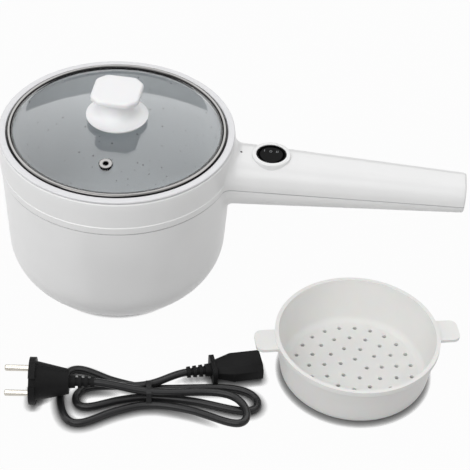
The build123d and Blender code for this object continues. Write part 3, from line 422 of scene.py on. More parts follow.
@dataclass(frozen=True)
class Metal(Finish):
    """Metal with a drawn or turned grain of fine streaks and tarnish in patches."""

    tarnish: Colour
    roughness: float = 0.2
    roughness_drift: float = 0.12
    grain: tuple[float, float, float] = (0.004, 0.004, 0.0002)
    grain_depth: float = 0.000004
    tarnish_size: float = 0.01
    tarnish_range: tuple[float, float] = (0.45, 0.8)
    tarnish_depth: float = 0.6

    def write(self, graph: Graph) -> Shade:
        """Noise stretched along the grain drives roughness and relief, slow noise the tarnish.

        Args:
            graph: Empty graph of the new material.

        Returns:
            Shader of the metal.
        """
        where = graph.place()
        streaks = graph.noise(graph.scaled(where, [1 / size for size in self.grain]), 1.0)
        patch = graph.step(graph.noise(where, self.tarnish_size, detail=4.0), *self.tarnish_range)
        return graph.add(
            "ShaderNodeBsdfPrincipled",
            inputs={
                "Base Color": graph.blend(patch * self.tarnish_depth, self.colour, self.tarnish),
                "Metallic": 1.0,
                "Roughness": self.roughness + (streaks + patch - NOISE_MIDDLE) * self.roughness_drift,
                "Normal": graph.bump(streaks, self.grain_depth),
            },
        )


@dataclass(frozen=True)
class HoopSteel(Finish):
    """Polished ring: turned lines round an upright axis, and lines of painted shade and dark reflection
    where its edges roll under.
    """

    # Colour of the painted shade and dark reflection along the edges.
    line: Colour
    inner_radius: float
    outer_radius: float
    axis: tuple[float, float] = (0.0, 0.0)
    inner_shade_width: float = 0.0012
    outer_shade_width: float = 0.0006
    turning: float = 0.00012
    turning_depth: float = 0.000002
    turning_gloss: float = 0.04
    smear_size: float = 0.02
    smear_gloss: float = 0.06
    roughness: float = 0.09

    def write(self, graph: Graph) -> Shade:
        """Lines follow the distance from the axis, and painted shade darkens the edges over a line's width.

        Args:
            graph: Empty graph of the new material.

        Returns:
            Shader of the polished steel.
        """
        where = graph.place()
        x, y, height = graph.axes(where)
        across, along = x - self.axis[0], y - self.axis[1]
        radius = (across * across + along * along) ** 0.5
        ring = graph.add("ShaderNodeCombineXYZ", inputs={"X": radius, "Y": height})
        lines = graph.noise(ring, self.turning, detail=1.0)
        smear = graph.noise(where, self.smear_size, detail=3.0)
        # Painted shade and dark reflection: the colour darkens over a width at the inner and outer edges.
        inner = 1 - graph.step(radius, self.inner_radius, self.inner_radius + self.inner_shade_width)
        outer = graph.step(radius, self.outer_radius - self.outer_shade_width, self.outer_radius)
        return graph.add(
            "ShaderNodeBsdfPrincipled",
            inputs={
                "Base Color": graph.blend(inner.most(outer), self.colour, self.line),
                "Metallic": 1.0,
                "Roughness": self.roughness + lines * self.turning_gloss + smear * self.smear_gloss,
                "Normal": graph.bump(lines, self.turning_depth),
            },
        )


@dataclass(frozen=True)
class ClearGlass(Finish):
    """Clear lid glass with faint smears and painted shade and dark reflection at its edge; light goes
    through to the pot below.
    """

    # Colour of the painted shade and dark reflection at the edge, and the radii where it starts and is full.
    glass_edge_shade: Colour
    edge_shade_start: float
    edge_shade_end: float
    smear_size: float = 0.025
    smear_range: tuple[float, float] = (0.5, 0.9)
    smear_gloss: float = 0.03
    ior: float = 1.5

    def write(self, graph: Graph) -> Shade:
        """A refracting shader for what is seen, and a plain see-through one for shadows.

        Args:
            graph: Empty graph of the new material.

        Returns:
            Shader of the glass.
        """
        where = graph.place()
        x, y, _ = graph.axes(where)
        # Painted shade and dark reflection: the colour darkens towards the glass's edge.
        edge = graph.step((x * x + y * y) ** 0.5, self.edge_shade_start, self.edge_shade_end)
        smear = graph.step(graph.noise(where, self.smear_size, detail=5.0), *self.smear_range)
        body = graph.add(
            "ShaderNodeBsdfPrincipled",
            inputs={
                "Base Color": graph.blend(edge, self.colour, self.glass_edge_shade),
                "Roughness": smear * self.smear_gloss,
                "IOR": self.ior,
                "Transmission Weight": 1.0,
            },
        )
        clear = graph.add("ShaderNodeBsdfTransparent", inputs={"Color": self.colour})
        shadow = graph.add("ShaderNodeLightPath", output=Ray.SHADOW.value)
        return graph.add("ShaderNodeMixShader", inputs={0: shadow, 1: body, 2: clear})


class Finishes:
    """The finishes of the pot, named for its pieces."""

    # The shells' level joint gets a painted shade line.
    HOUSING = Moulding(
        "housing_lacquer", "white_housing", paint(235, 235, 235), paint(230, 230, 230),
        roughness=0.33, coat=0.15, shaded_seams=((SEAM_HEIGHT, SEAM_SHADE_HALF),),
    )
    COLLAR = Moulding(
        "collar_moulding", "white_collar", paint(224, 224, 226), paint(220, 220, 222), roughness=0.3
    )
    KNOB = Moulding(
        "knob_moulding", "white_knob", paint(240, 240, 241), paint(237, 237, 238),
        rub_gloss=0.02, translucence=0.1,
    )
    BASKET = Moulding(
        "basket_plastic", "white_basket", paint(233, 233, 231), paint(226, 226, 224),
        roughness=0.42, translucence=0.15,
    )
    BASE = Moulding("base_plastic", "white_base", paint(222, 222, 219), paint(212, 212, 209), roughness=0.5)
    SWITCH = Moulding(
        "switch_black", "black_switch", paint(9, 9, 9), paint(13, 13, 14),
        roughness=0.4, gloss=0.03, peel_depth=0.000008,
    )
    BLACK = Moulding(
        "moulded_black", "black_plastic", paint(26, 26, 26), paint(33, 33, 34),
        roughness=0.5, gloss=0.07, peel_size=0.0005,
    )
    SHEATH = Moulding(
        "cord_sheath", "cord_black", paint(28, 28, 29), paint(36, 36, 37),
        roughness=0.32, peel_size=0.0007,
    )
    TIE = Moulding("tie_plastic", "tie_black", paint(24, 24, 25), paint(33, 33, 34), roughness=0.4)
    MARK = Moulding("switch_mark", "black_switch", paint(138, 140, 142), paint(118, 120, 122), roughness=0.5)
    LAMP = Moulding(
        "smoked_lens", "lamp_lens", paint(46, 43, 43), paint(38, 36, 36), roughness=0.3, gloss=0.2
    )
    SEAL = Moulding(
        "seal_rubber", "clear_rubber", paint(214, 214, 210), paint(202, 202, 198), translucence=0.3
    )
    FOOT = Moulding("foot_moulding", "foot_rubber", paint(72, 72, 73), paint(62, 62, 63), roughness=0.75)
    BROWN = Moulding("brown_insulation", "wire_brown", paint(104, 62, 36), paint(92, 54, 32))
    BLUE = Moulding("blue_insulation", "wire_blue", paint(44, 84, 160), paint(38, 74, 146))
    GREEN = Moulding("green_insulation", "wire_green", paint(120, 150, 48), paint(178, 176, 52))
    RED = Moulding("red_insulation", "wire_red", paint(164, 40, 34), paint(148, 34, 30))
    COATING = SpeckledCoating(
        "speckled_coating", "pot_coating", paint(166, 171, 175), paint(48, 52, 57), paint(186, 190, 194)
    )
    # Both rings get painted shade and dark reflection in their second colour at their edges.
    HOOP = HoopSteel(
        "hoop_steel", "polished_steel", paint(124, 123, 122), paint(32, 32, 33), HOOP_INNER, HOOP_OUTER
    )
    EYELET = HoopSteel(
        "eyelet_steel", "polished_steel", paint(126, 125, 124), paint(26, 25, 25), VENT_HOLE, VENT_FLANGE,
        axis=(0.0, -VENT_DISTANCE), outer_shade_width=0.0011, roughness=0.12,
    )
    PIN = Metal("pin_nickel", "plated_pin", paint(206, 202, 194), paint(176, 170, 158), roughness=0.24)
    BRASS = Metal("terminal_brass", "brass_terminal", paint(201, 170, 96), paint(160, 128, 70))
    ALUMINIUM = Metal(
        "cast_aluminium", "bare_aluminium", paint(196, 197, 199), paint(170, 171, 174), roughness=0.45
    )
    SHEET = Metal("sheet_steel", "steel_sheet", paint(186, 187, 189), paint(150, 150, 152), roughness=0.32)
    SCREW = Metal("screw_zinc", "screw_steel", paint(184, 186, 190), paint(150, 150, 148), roughness=0.3)
    # The glass's second colour is painted shade and dark reflection at its edge.
    GLASS = ClearGlass(
        "clear_glass", "lid_glass", paint(252, 253, 253), paint(34, 36, 37),
        edge_shade_start=0.0809, edge_shade_end=0.0815,
    )


@dataclass
class Grid:
    """Surface over a grid of points, rows by columns, wrapped round either way."""

    points: np.ndarray
    wrap_rows: bool = False
    wrap_columns: bool = False

    def faces(self) -> np.ndarray:
        """Corner numbers of the grid's quads.

        Returns:
            One row of four numbers for each quad, in the order row, next row, across, back.
        """
        rows, columns = self.points.shape[:2]
        number = np.arange(rows * columns).reshape(rows, columns)
        if self.wrap_rows:
            number = np.concatenate([number, number[:1]], axis=0)
        if self.wrap_columns:
            number = np.concatenate([number, number[:, :1]], axis=1)
        corners = [number[:-1, :-1], number[1:, :-1], number[1:, 1:], number[:-1, 1:]]
        return np.stack(corners, axis=-1).reshape(-1, 4)

    def placed(self, matrix: Matrix) -> "Grid":
        """The same surface moved: each point is turned, then shifted.

        Args:
            matrix: Turn and shift.

        Returns:
            Moved surface.
        """
        turn = np.array(matrix.to_3x3())
        moved = self.points @ turn.T + np.array(matrix.translation)
        return Grid(moved, self.wrap_rows, self.wrap_columns)


def rounded(corners: Sequence[Corner], steps: int = 8, closed: bool = True) -> np.ndarray:
    """Outline whose corners are arcs.

    Each corner is cut back along its two runs by radius / tan(half the angle between them), and
    the two cuts are joined by the arc about the point radius / sin(half angle) away that touches both.

    Args:
        corners: Across, up and radius of each corner.
        steps: Points on each arc.
        closed: Whether the outline goes back to its first corner.

    Returns:
        Points of the outline, two numbers each.
    """
    places = np.array([corner[:2] for corner in corners])
    stretches = []
    for index, (across, up, radius) in enumerate(corners):
        at_end = not closed and index in (0, len(corners) - 1)
        if radius < POINT_ONLY or at_end:
            stretches.append(np.array([[across, up]]))
            continue
        here = places[index]
        back = places[index - 1] - here
        ahead = places[(index + 1) % len(corners)] - here
        back = back / np.linalg.norm(back)
        ahead = ahead / np.linalg.norm(ahead)
        half = np.arccos(np.clip(back @ ahead, -1, 1)) / 2
        middle = here + (back + ahead) / np.linalg.norm(back + ahead) * radius / np.sin(half)
        first = here + back * radius / np.tan(half) - middle
        last = here + ahead * radius / np.tan(half) - middle
        sweep = pi - 2 * half
        share = np.linspace(0, 1, steps)[:, None]
        bow = np.sin((1 - share) * sweep) * first + np.sin(share * sweep) * last
        stretches.append(middle + bow / sin(sweep))
    return np.concatenate(stretches)


def turned(outline: np.ndarray, steps: int = 192, closed: bool = True) -> Grid:
    """Outline turned about the upright axis: x = r cos a, y = r sin a, z = h.

    Args:
        outline: Distance from the axis and height of each point, with the solid on its left.
        steps: Places round the axis.
        closed: Whether the outline is a closed loop.

    Returns:
        Surface, with one row for each place round the axis.
    """
    angle = np.linspace(0, 2 * pi, steps, endpoint=False)[:, None]
    radius, height = outline[:, 0], outline[:, 1]
    points = np.stack([radius * np.cos(angle), radius * np.sin(angle), height + 0 * angle], axis=-1)
    return Grid(points, wrap_rows=True, wrap_columns=closed)


def arc(middle: tuple[float, float], radius: float, start: float, end: float, steps: int) -> np.ndarray:
    """Points of an arc: middle + radius (cos a, sin a), with a from start to end in degrees."""
    angle = np.radians(np.linspace(start, end, steps))
    return np.stack([middle[0] + radius * np.cos(angle), middle[1] + radius * np.sin(angle)], axis=-1)


def merge(mesh: bpy.types.Mesh) -> None:
    """Joins the points of a mesh that lie together and drops faces that this closes up.

    Args:
        mesh: Mesh to work on.
    """
    work = bmesh.new()
    work.from_mesh(mesh)
    bmesh.ops.remove_doubles(work, verts=work.verts, dist=WELD)
    bmesh.ops.dissolve_degenerate(work, edges=work.edges, dist=WELD)
    work.to_mesh(mesh)
    work.free()


def soften(mesh: bpy.types.Mesh, crease: float) -> None:
    """Shades a mesh smooth, with sharp edges past the crease angle in degrees."""
    mesh.shade_smooth()
    mesh.set_sharp_from_angle(angle=radians(crease))


def linked(name: str, data: bpy.types.ID) -> bpy.types.Object:
    """Adds a new object to the scene.

    Args:
        name: Name of the object.
        data: Its mesh, curve, lamp or lens.

    Returns:
        The object.
    """
    obj = bpy.data.objects.new(name, data)
    bpy.context.scene.collection.objects.link(obj)
    return obj


def dress(obj: bpy.types.Object, finish: Finish) -> None:
    """Gives an object one finish.

    Args:
        obj: Object with a mesh or a curve.
        finish: Finish that takes the place of its materials.
    """
    obj.data.materials.clear()
    obj.data.materials.append(finish.material())


def place_piece(
    obj: bpy.types.Object, finish: Finish, body: Body, nodes: Sequence[str]
) -> bpy.types.Object:
    """Dresses a new object, lets it ride on its body and stand for its solids.

    Args:
        obj: Object whose place is in its mesh.
        finish: Finish of the piece.
        body: Body that carries it.
        nodes: Solids that it stands for.

    Returns:
        The object.
    """
    dress(obj, finish)
    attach(obj, body.value)
    if nodes:
        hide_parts(*nodes)
    log.info("%s rides on %s in %s", obj.name, body.value, finish.name)
    return obj


def surface_piece(
    name: str,
    grids: Sequence[Grid],
    finish: Finish,
    body: Body,
    nodes: Sequence[str] = (),
    crease: float = 40.0,
) -> bpy.types.Object:
    """Makes a piece from computed surfaces.

    Args:
        name: Name of the piece.
        grids: Surfaces that make it up.
        finish: Finish of the piece.
        body: Body that carries it.
        nodes: Solids that it stands for.
        crease: Angle in degrees past which an edge stays sharp.

    Returns:
        The object.
    """
    starts = np.cumsum([0] + [grid.points.shape[0] * grid.points.shape[1] for grid in grids])
    points = np.concatenate([grid.points.reshape(-1, 3) for grid in grids])
    faces = np.concatenate([grid.faces() + start for grid, start in zip(grids, starts)])
    mesh = bpy.data.meshes.new(name)
    mesh.from_pydata(points.tolist(), [], faces.tolist())
    merge(mesh)
    soften(mesh, crease)
    return place_piece(linked(name, mesh), finish, body, nodes)


def smooth_copy(node: str, finish: Finish, body: Body, crease: float = 30.0) -> bpy.types.Object:
    """Makes a merged and smoothly shaded copy of a solid's mesh that stands for it.

    Args:
        node: Name of the solid.
        finish: Finish of the copy.
        body: Body that carries it.
        crease: Angle in degrees past which an edge stays sharp.

    Returns:
        The object.
    """
    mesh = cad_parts[node].data.copy()
    mesh.name = f"{node}_skin"
    if "custom_normal" in mesh.attributes:
        mesh.attributes.remove(mesh.attributes["custom_normal"])
    merge(mesh)
    soften(mesh, crease)
    return place_piece(linked(mesh.name, mesh), finish, body, [node])


def dress_solid(node: str, finish: Finish) -> None:
    """Gives a solid that keeps its own mesh its finish."""
    dress(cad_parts[node], finish)
    log.info("%s keeps its solid in %s", node, finish.name)


@dataclass
class Housing:
    """Two white shells of body and handle, with the base that closes the bottom."""

    crease: float = 28.0

    def build(self) -> None:
        """Builds the shells, the base, its screws and its feet."""
        smooth_copy("upper_housing", Finishes.HOUSING, Body.POT, self.crease)
        smooth_copy("lower_housing", Finishes.HOUSING, Body.POT, self.crease)
        smooth_copy("base_cover", Finishes.BASE, Body.POT)
        smooth_copy("rubber_feet", Finishes.FOOT, Body.POT)
        smooth_copy("handle_screws", Finishes.SCREW, Body.POT)
        smooth_copy("base_screws", Finishes.SCREW, Body.POT)


@dataclass
class Mouth:
    """Collar at the mouth and the coated vessel that hangs in it."""

    rim_height: float = 0.147
    rim_radius: float = 0.0925
    lip_thickness: float = 0.002
    lip_round: float = 0.0009
    skirt_radius: float = 0.0897
    recess_radius: float = 0.0868
    bore_radius: float = 0.0824
    seat_height: float = SEAT_HEIGHT
    flange_top: float = 0.140
    flange_thickness: float = 0.0012
    flange_radius: float = 0.0886
    vessel_wall: float = 0.0015
    vessel_radius: float = 0.082
    foot_radius: float = 0.0735
    floor_height: float = 0.029
    floor_fillet: float = 0.034
    soft_edge: float = 0.0004

    def collar(self) -> None:
        """Builds the collar: its section, with a rounded lip over a skirt, turned about the axis."""
        lip_foot = self.rim_height - self.lip_thickness
        section = rounded(
            [
                (self.bore_radius, self.flange_top, 0.0),
                (self.skirt_radius, self.flange_top, 0.0),
                (self.skirt_radius, lip_foot, self.soft_edge),
                (self.rim_radius, lip_foot, self.lip_round),
                (self.rim_radius, self.rim_height, self.lip_round),
                (self.recess_radius, self.rim_height, self.lip_round),
                (self.recess_radius, self.seat_height, self.soft_edge),
                (self.bore_radius, self.seat_height, self.soft_edge),
            ]
        )
        surface_piece("collar_ring", [turned(section)], Finishes.COLLAR, Body.POT, ["rim_collar"])

    def vessel(self) -> None:
        """Builds the vessel: outside from its floor up to the flange, then inside down to the floor."""
        wall = self.vessel_wall
        section = rounded(
            [
                (0.0, self.floor_height - wall, 0.0),
                (self.foot_radius + wall, self.floor_height - wall, self.floor_fillet + wall),
                (self.vessel_radius + wall, self.flange_top - self.flange_thickness, self.soft_edge),
                (self.flange_radius, self.flange_top - self.flange_thickness, 0.0),
                (self.flange_radius, self.flange_top, 0.0),
                (self.vessel_radius, self.flange_top, self.soft_edge),
                (self.foot_radius, self.floor_height, self.floor_fillet),
                (0.0, self.floor_height, 0.0),
            ],
            steps=16,
            closed=False,
        )
        wall_grid = turned(section, closed=False)
        surface_piece("coated_vessel", [wall_grid], Finishes.COATING, Body.POT, ["inner_pot"])

    def build(self) -> None:
        """Builds both pieces."""
        self.collar()
        self.vessel()


@dataclass
class Knob:
    """Knob of the lid: a flared foot, a waisted neck and a square head with cut corners."""

    foot_height: float = 0.1584
    foot_radius: float = 0.0243
    foot_edge: float = 0.0023
    neck_radius: float = 0.0115
    neck_rise: float = 0.0125
    head_half: float = 0.0189
    corner_cut: float = 0.0072
    head_rise: float = 0.026
    head_thickness: float = 0.0056
    under_round: float = 0.0014
    top_round: float = 0.002
    top_crown: float = 0.0005
    turn: float = -2.3
    sides: int = 8
    corner_power: float = 30.0
    foot_edge_start: float = -80.0
    hollow_start: float = 178.0
    crown_rings: int = 10

    def head_outline(self, angle: np.ndarray) -> np.ndarray:
        """Reach of the head's outline, in shares of half its width.

        The sides, each at its own distance h, give 1 / (sum of (cos(angle off the side) / h)^p)^(1/p),
        which is the square with cut corners, its edges softened by a finite p.

        Args:
            angle: Angles round the axis.

        Returns:
            Reach at each angle.
        """
        cut = (2 * self.head_half - self.corner_cut) / sqrt(2) / self.head_half
        number = np.arange(self.sides)
        side = np.radians(self.turn) + number * 2 * pi / self.sides
        distance = np.where(number % 2 == 0, 1.0, cut)
        facing = np.clip(np.cos(angle[:, None] - side), 0, None) / distance
        return np.sum(facing**self.corner_power, axis=1) ** (-1 / self.corner_power)

    def stations(self) -> tuple[np.ndarray, np.ndarray]:
        """Half section of the knob and how square it is at each of its points.

        Two arcs that meet upright at the neck carry the foot into the head.

        Returns:
            Distance from the axis and rise above the foot, and squareness from 0 to 1.
        """
        out = self.foot_radius - self.neck_radius
        drop = self.neck_rise - self.foot_edge
        flare = (out**2 + drop**2) / (2 * out)
        flare_end = 180 + degrees(atan2(drop, flare - out))
        head_foot = self.head_rise - self.head_thickness
        throat = self.head_half - self.corner_cut / 2 - self.neck_radius
        rise = head_foot - self.neck_rise
        hollow = (throat**2 + rise**2) / (2 * throat)
        hollow_end = 180 - degrees(atan2(rise, hollow - throat))
        edge_height = self.head_rise - self.top_crown
        head = rounded(
            [
                (self.head_half - self.corner_cut / 2, head_foot, 0.0),
                (self.head_half, head_foot, self.under_round),
                (self.head_half, edge_height, self.top_round),
                (0.0, self.head_rise, 0.0),
            ],
            steps=12,
            closed=False,
        )
        inward = np.linspace(1 / self.crown_rings, 1, self.crown_rings)[:, None]
        crown = head[-2] + (head[-1] - head[-2]) * inward
        foot_middle = (self.foot_radius - self.foot_edge, self.foot_edge)
        stretches = [
            np.array([[0.0, 0.0], [foot_middle[0], 0.0]]),
            arc(foot_middle, self.foot_edge, self.foot_edge_start, 0, steps=10),
            arc((self.neck_radius + flare, self.neck_rise), flare, flare_end, 180, steps=28),
            arc(
                (self.neck_radius + hollow, self.neck_rise), hollow, self.hollow_start, hollow_end, steps=20
            ),
            head[1:-1],
            crown,
        ]
        square = [np.zeros(len(part)) for part in stretches[:3]]
        share = np.linspace(0, 1, len(stretches[3]))
        square.append(share**2 * (3 - 2 * share))
        square += [np.ones(len(part)) for part in stretches[4:]]
        return np.concatenate(stretches), np.concatenate(square)

    def surface(self, steps: int = 176) -> Grid:
        """Knob as a function of the angle round the axis and the place along its section.

        The reach at an angle is the section's radius times 1 + squareness (outline - 1).

        Args:
            steps: Places round the axis.

        Returns:
            Closed surface of the knob.
        """
        section, square = self.stations()
        angle = np.linspace(0, 2 * pi, steps, endpoint=False)
        outline = self.head_outline(angle)[:, None]
        reach = section[:, 0] * (1 + square * (outline - 1))
        points = np.stack(
            [
                reach * np.cos(angle)[:, None],
                reach * np.sin(angle)[:, None],
                np.broadcast_to(self.foot_height + section[:, 1], reach.shape),
            ],
            axis=-1,
        )
        return Grid(points, wrap_rows=True)


@dataclass
class Lid:
    """Glass lid with its steel hoop, steam vent and knob."""

    seat_height: float = SEAT_HEIGHT
    hoop_radius: float = HOOP_OUTER
    hoop_inner: float = HOOP_INNER
    hoop_lip: float = 0.0832
    hoop_wall: float = 0.0007
    groove_top: float = 0.1472
    hoop_rise: float = 0.0013
    glass_apex: float = 0.157
    glass_sphere: float = 0.348
    vent_distance: float = VENT_DISTANCE
    vent_glass: float = 0.0042
    vent_flange: float = VENT_FLANGE
    vent_flange_thickness: float = 0.0009
    vent_lift: float = 0.0001
    vent_barrel: float = 0.003
    vent_tail: float = 0.0044
    vent_hole: float = VENT_HOLE
    vent_roll: float = 0.0004
    knob: Knob = field(default_factory=Knob)

    def hoop(self) -> None:
        """Builds the hoop: a channel whose top is an arc, turned about the lid's axis."""
        half = (self.hoop_radius - self.hoop_inner) / 2
        crown = (half**2 + self.hoop_rise**2) / (2 * self.hoop_rise)
        reach = degrees(atan2(half, crown - self.hoop_rise))
        middle = ((self.hoop_radius + self.hoop_inner) / 2, self.groove_top + self.hoop_rise - crown)
        top = arc(middle, crown, 90 - reach, 90 + reach, steps=20)
        groove = self.hoop_radius - self.hoop_wall
        lip_top = self.seat_height + self.hoop_wall
        foot = np.array([[self.hoop_lip, self.seat_height], [self.hoop_radius, self.seat_height]])
        inside = np.array([[groove, self.groove_top], [groove, lip_top], [self.hoop_lip, lip_top]])
        section = np.concatenate([foot, top, inside])
        channel = turned(section, steps=256)
        surface_piece("hoop_channel", [channel], Finishes.HOOP, Body.LID, ["lid_hoop"])

    def vent(self) -> None:
        """Builds the eyelet: its section turned about an axis square to the dome."""
        tail = -self.vent_glass - self.vent_lift
        foot = tail - self.vent_flange_thickness
        top = self.vent_lift + self.vent_flange_thickness
        section = rounded(
            [
                (self.vent_hole, foot, self.vent_roll),
                (self.vent_tail, foot, self.vent_roll),
                (self.vent_tail, tail, 0.0),
                (self.vent_barrel, tail, 0.0),
                (self.vent_barrel, self.vent_lift, 0.0),
                (self.vent_flange, self.vent_lift, 0.0),
                (self.vent_flange, top, self.vent_roll),
                (self.vent_hole, top, 2 * self.vent_roll),
            ]
        )
        drop = self.glass_sphere - sqrt(self.glass_sphere**2 - self.vent_distance**2)
        seat = Vector((0, -self.vent_distance, self.glass_apex - drop))
        centre = Vector((0, 0, self.glass_apex - self.glass_sphere))
        lean = (seat - centre).to_track_quat("Z", "Y").to_matrix().to_4x4()
        eyelet = turned(section, steps=72).placed(Matrix.Translation(seat) @ lean)
        surface_piece("vent_eyelet", [eyelet], Finishes.EYELET, Body.LID, ["vent_grommet"])

    def build(self) -> None:
        """Builds the lid's pieces."""
        self.hoop()
        self.vent()
        smooth_copy("lid_glass", Finishes.GLASS, Body.LID)
        knob = self.knob.surface()
        surface_piece("knob_turned", [knob], Finishes.KNOB, Body.LID, ["lid_knob"], crease=50.0)
        smooth_copy("knob_gasket", Finishes.SEAL, Body.LID)
        smooth_copy("knob_washer", Finishes.SEAL, Body.LID)
        smooth_copy("knob_screw", Finishes.SCREW, Body.LID)


@dataclass
class Switch:
    """Round rocker in the handle with its three marks, and the lamp beside it."""

    middle_x: float = 0.122
    dish_radius: float = 0.045
    dish_floor: float = 0.135265
    mark_row: float = 0.0044
    mark_height: float = 0.0026
    mark_width: float = 0.00042
    mark_proud: float = 0.00003
    one_x: float = -0.0058
    nought_x: float = -0.0008
    two_x: float = 0.0042
    two_gap: float = 0.0012
    width_points: int = 3
    height_points: int = 4
    ring_squeeze: float = 0.8
    ring_steps: int = 40

    def on_dish(self, x: np.ndarray, y: np.ndarray) -> np.ndarray:
        """Points a hair above the dish: z = floor + R - sqrt(R^2 - x^2).

        Args:
            x: Distances along the handle from the rocker's middle.
            y: Distances across the handle.

        Returns:
            Points in the part's frame.
        """
        lift = self.dish_radius - np.sqrt(self.dish_radius**2 - x**2) + self.mark_proud
        return np.stack([self.middle_x + x, y, self.dish_floor + lift], axis=-1)

    def bar(self, x: float) -> Grid:
        """Upright bar of a mark: a small grid across its width and height.

        Args:
            x: Place of its middle along the handle, from the rocker's.

        Returns:
            Surface of the bar.
        """
        across, along = np.meshgrid(
            x + np.linspace(-0.5, 0.5, self.width_points) * self.mark_width,
            self.mark_row + np.linspace(-0.5, 0.5, self.height_points) * self.mark_height,
            indexing="ij",
        )
        return Grid(self.on_dish(across, along))

    def ring(self, x: float) -> Grid:
        """Ring of a mark, a little narrower than high: angle round it by place across its line.

        Args:
            x: Place of its middle along the handle, from the rocker's.

        Returns:
            Surface of the ring.
        """
        angle = np.linspace(0, 2 * pi, self.ring_steps, endpoint=False)[:, None]
        outer = self.mark_height / 2
        radius = np.linspace(outer - self.mark_width, outer, self.width_points)
        across = x + self.ring_squeeze * radius * np.cos(angle)
        points = self.on_dish(across, self.mark_row + radius * np.sin(angle))
        return Grid(points[:, ::-1], wrap_rows=True)

    def marks(self) -> None:
        """Builds the marks of the three positions: one bar, a ring and two bars."""
        half_gap = self.two_gap / 2
        shapes = [self.bar(self.one_x), self.ring(self.nought_x)]
        shapes += [self.bar(self.two_x - half_gap), self.bar(self.two_x + half_gap)]
        surface_piece("position_marks", shapes, Finishes.MARK, Body.ROCKER)

    def build(self) -> None:
        """Builds the switch and the lamp."""
        smooth_copy("switch_housing", Finishes.SWITCH, Body.POT)
        smooth_copy("switch_rocker", Finishes.SWITCH, Body.ROCKER)
        self.marks()
        smooth_copy("indicator_lamp", Finishes.LAMP, Body.POT)
        dress_solid("switch_terminals", Finishes.BRASS)


@dataclass
class Inlet:
    """Appliance inlet in the handle's tail."""

    def build(self) -> None:
        """Builds the inlet and its pins."""
        smooth_copy("power_inlet", Finishes.BLACK, Body.POT)
        smooth_copy("inlet_pins", Finishes.PIN, Body.POT)


@dataclass
class Heater:
    """Heater under the vessel and the wires that feed it, all closed in."""

    finishes: dict[str, Finish] = field(
        default_factory=lambda: {
            "heating_plate": Finishes.ALUMINIUM,
            "heating_tube": Finishes.SHEET,
            "thermostat": Finishes.BLACK,
            "thermal_fuse": Finishes.ALUMINIUM,
            "heat_shield": Finishes.SHEET,
            "wire_live": Finishes.BROWN,
            "wire_neutral": Finishes.BLUE,
            "wire_earth": Finishes.GREEN,
            "wire_switched": Finishes.RED,
            "wire_link": Finishes.RED,
        }
    )

    def build(self) -> None:
        """Dresses the closed-in solids."""
        for node, finish in self.finishes.items():
            dress_solid(node, finish)


@dataclass
class Basket:
    """White steam basket with a holed floor and two lugs."""

    def build(self) -> None:
        """Builds the basket."""
        smooth_copy("steam_basket", Finishes.BASKET, Body.BASKET)


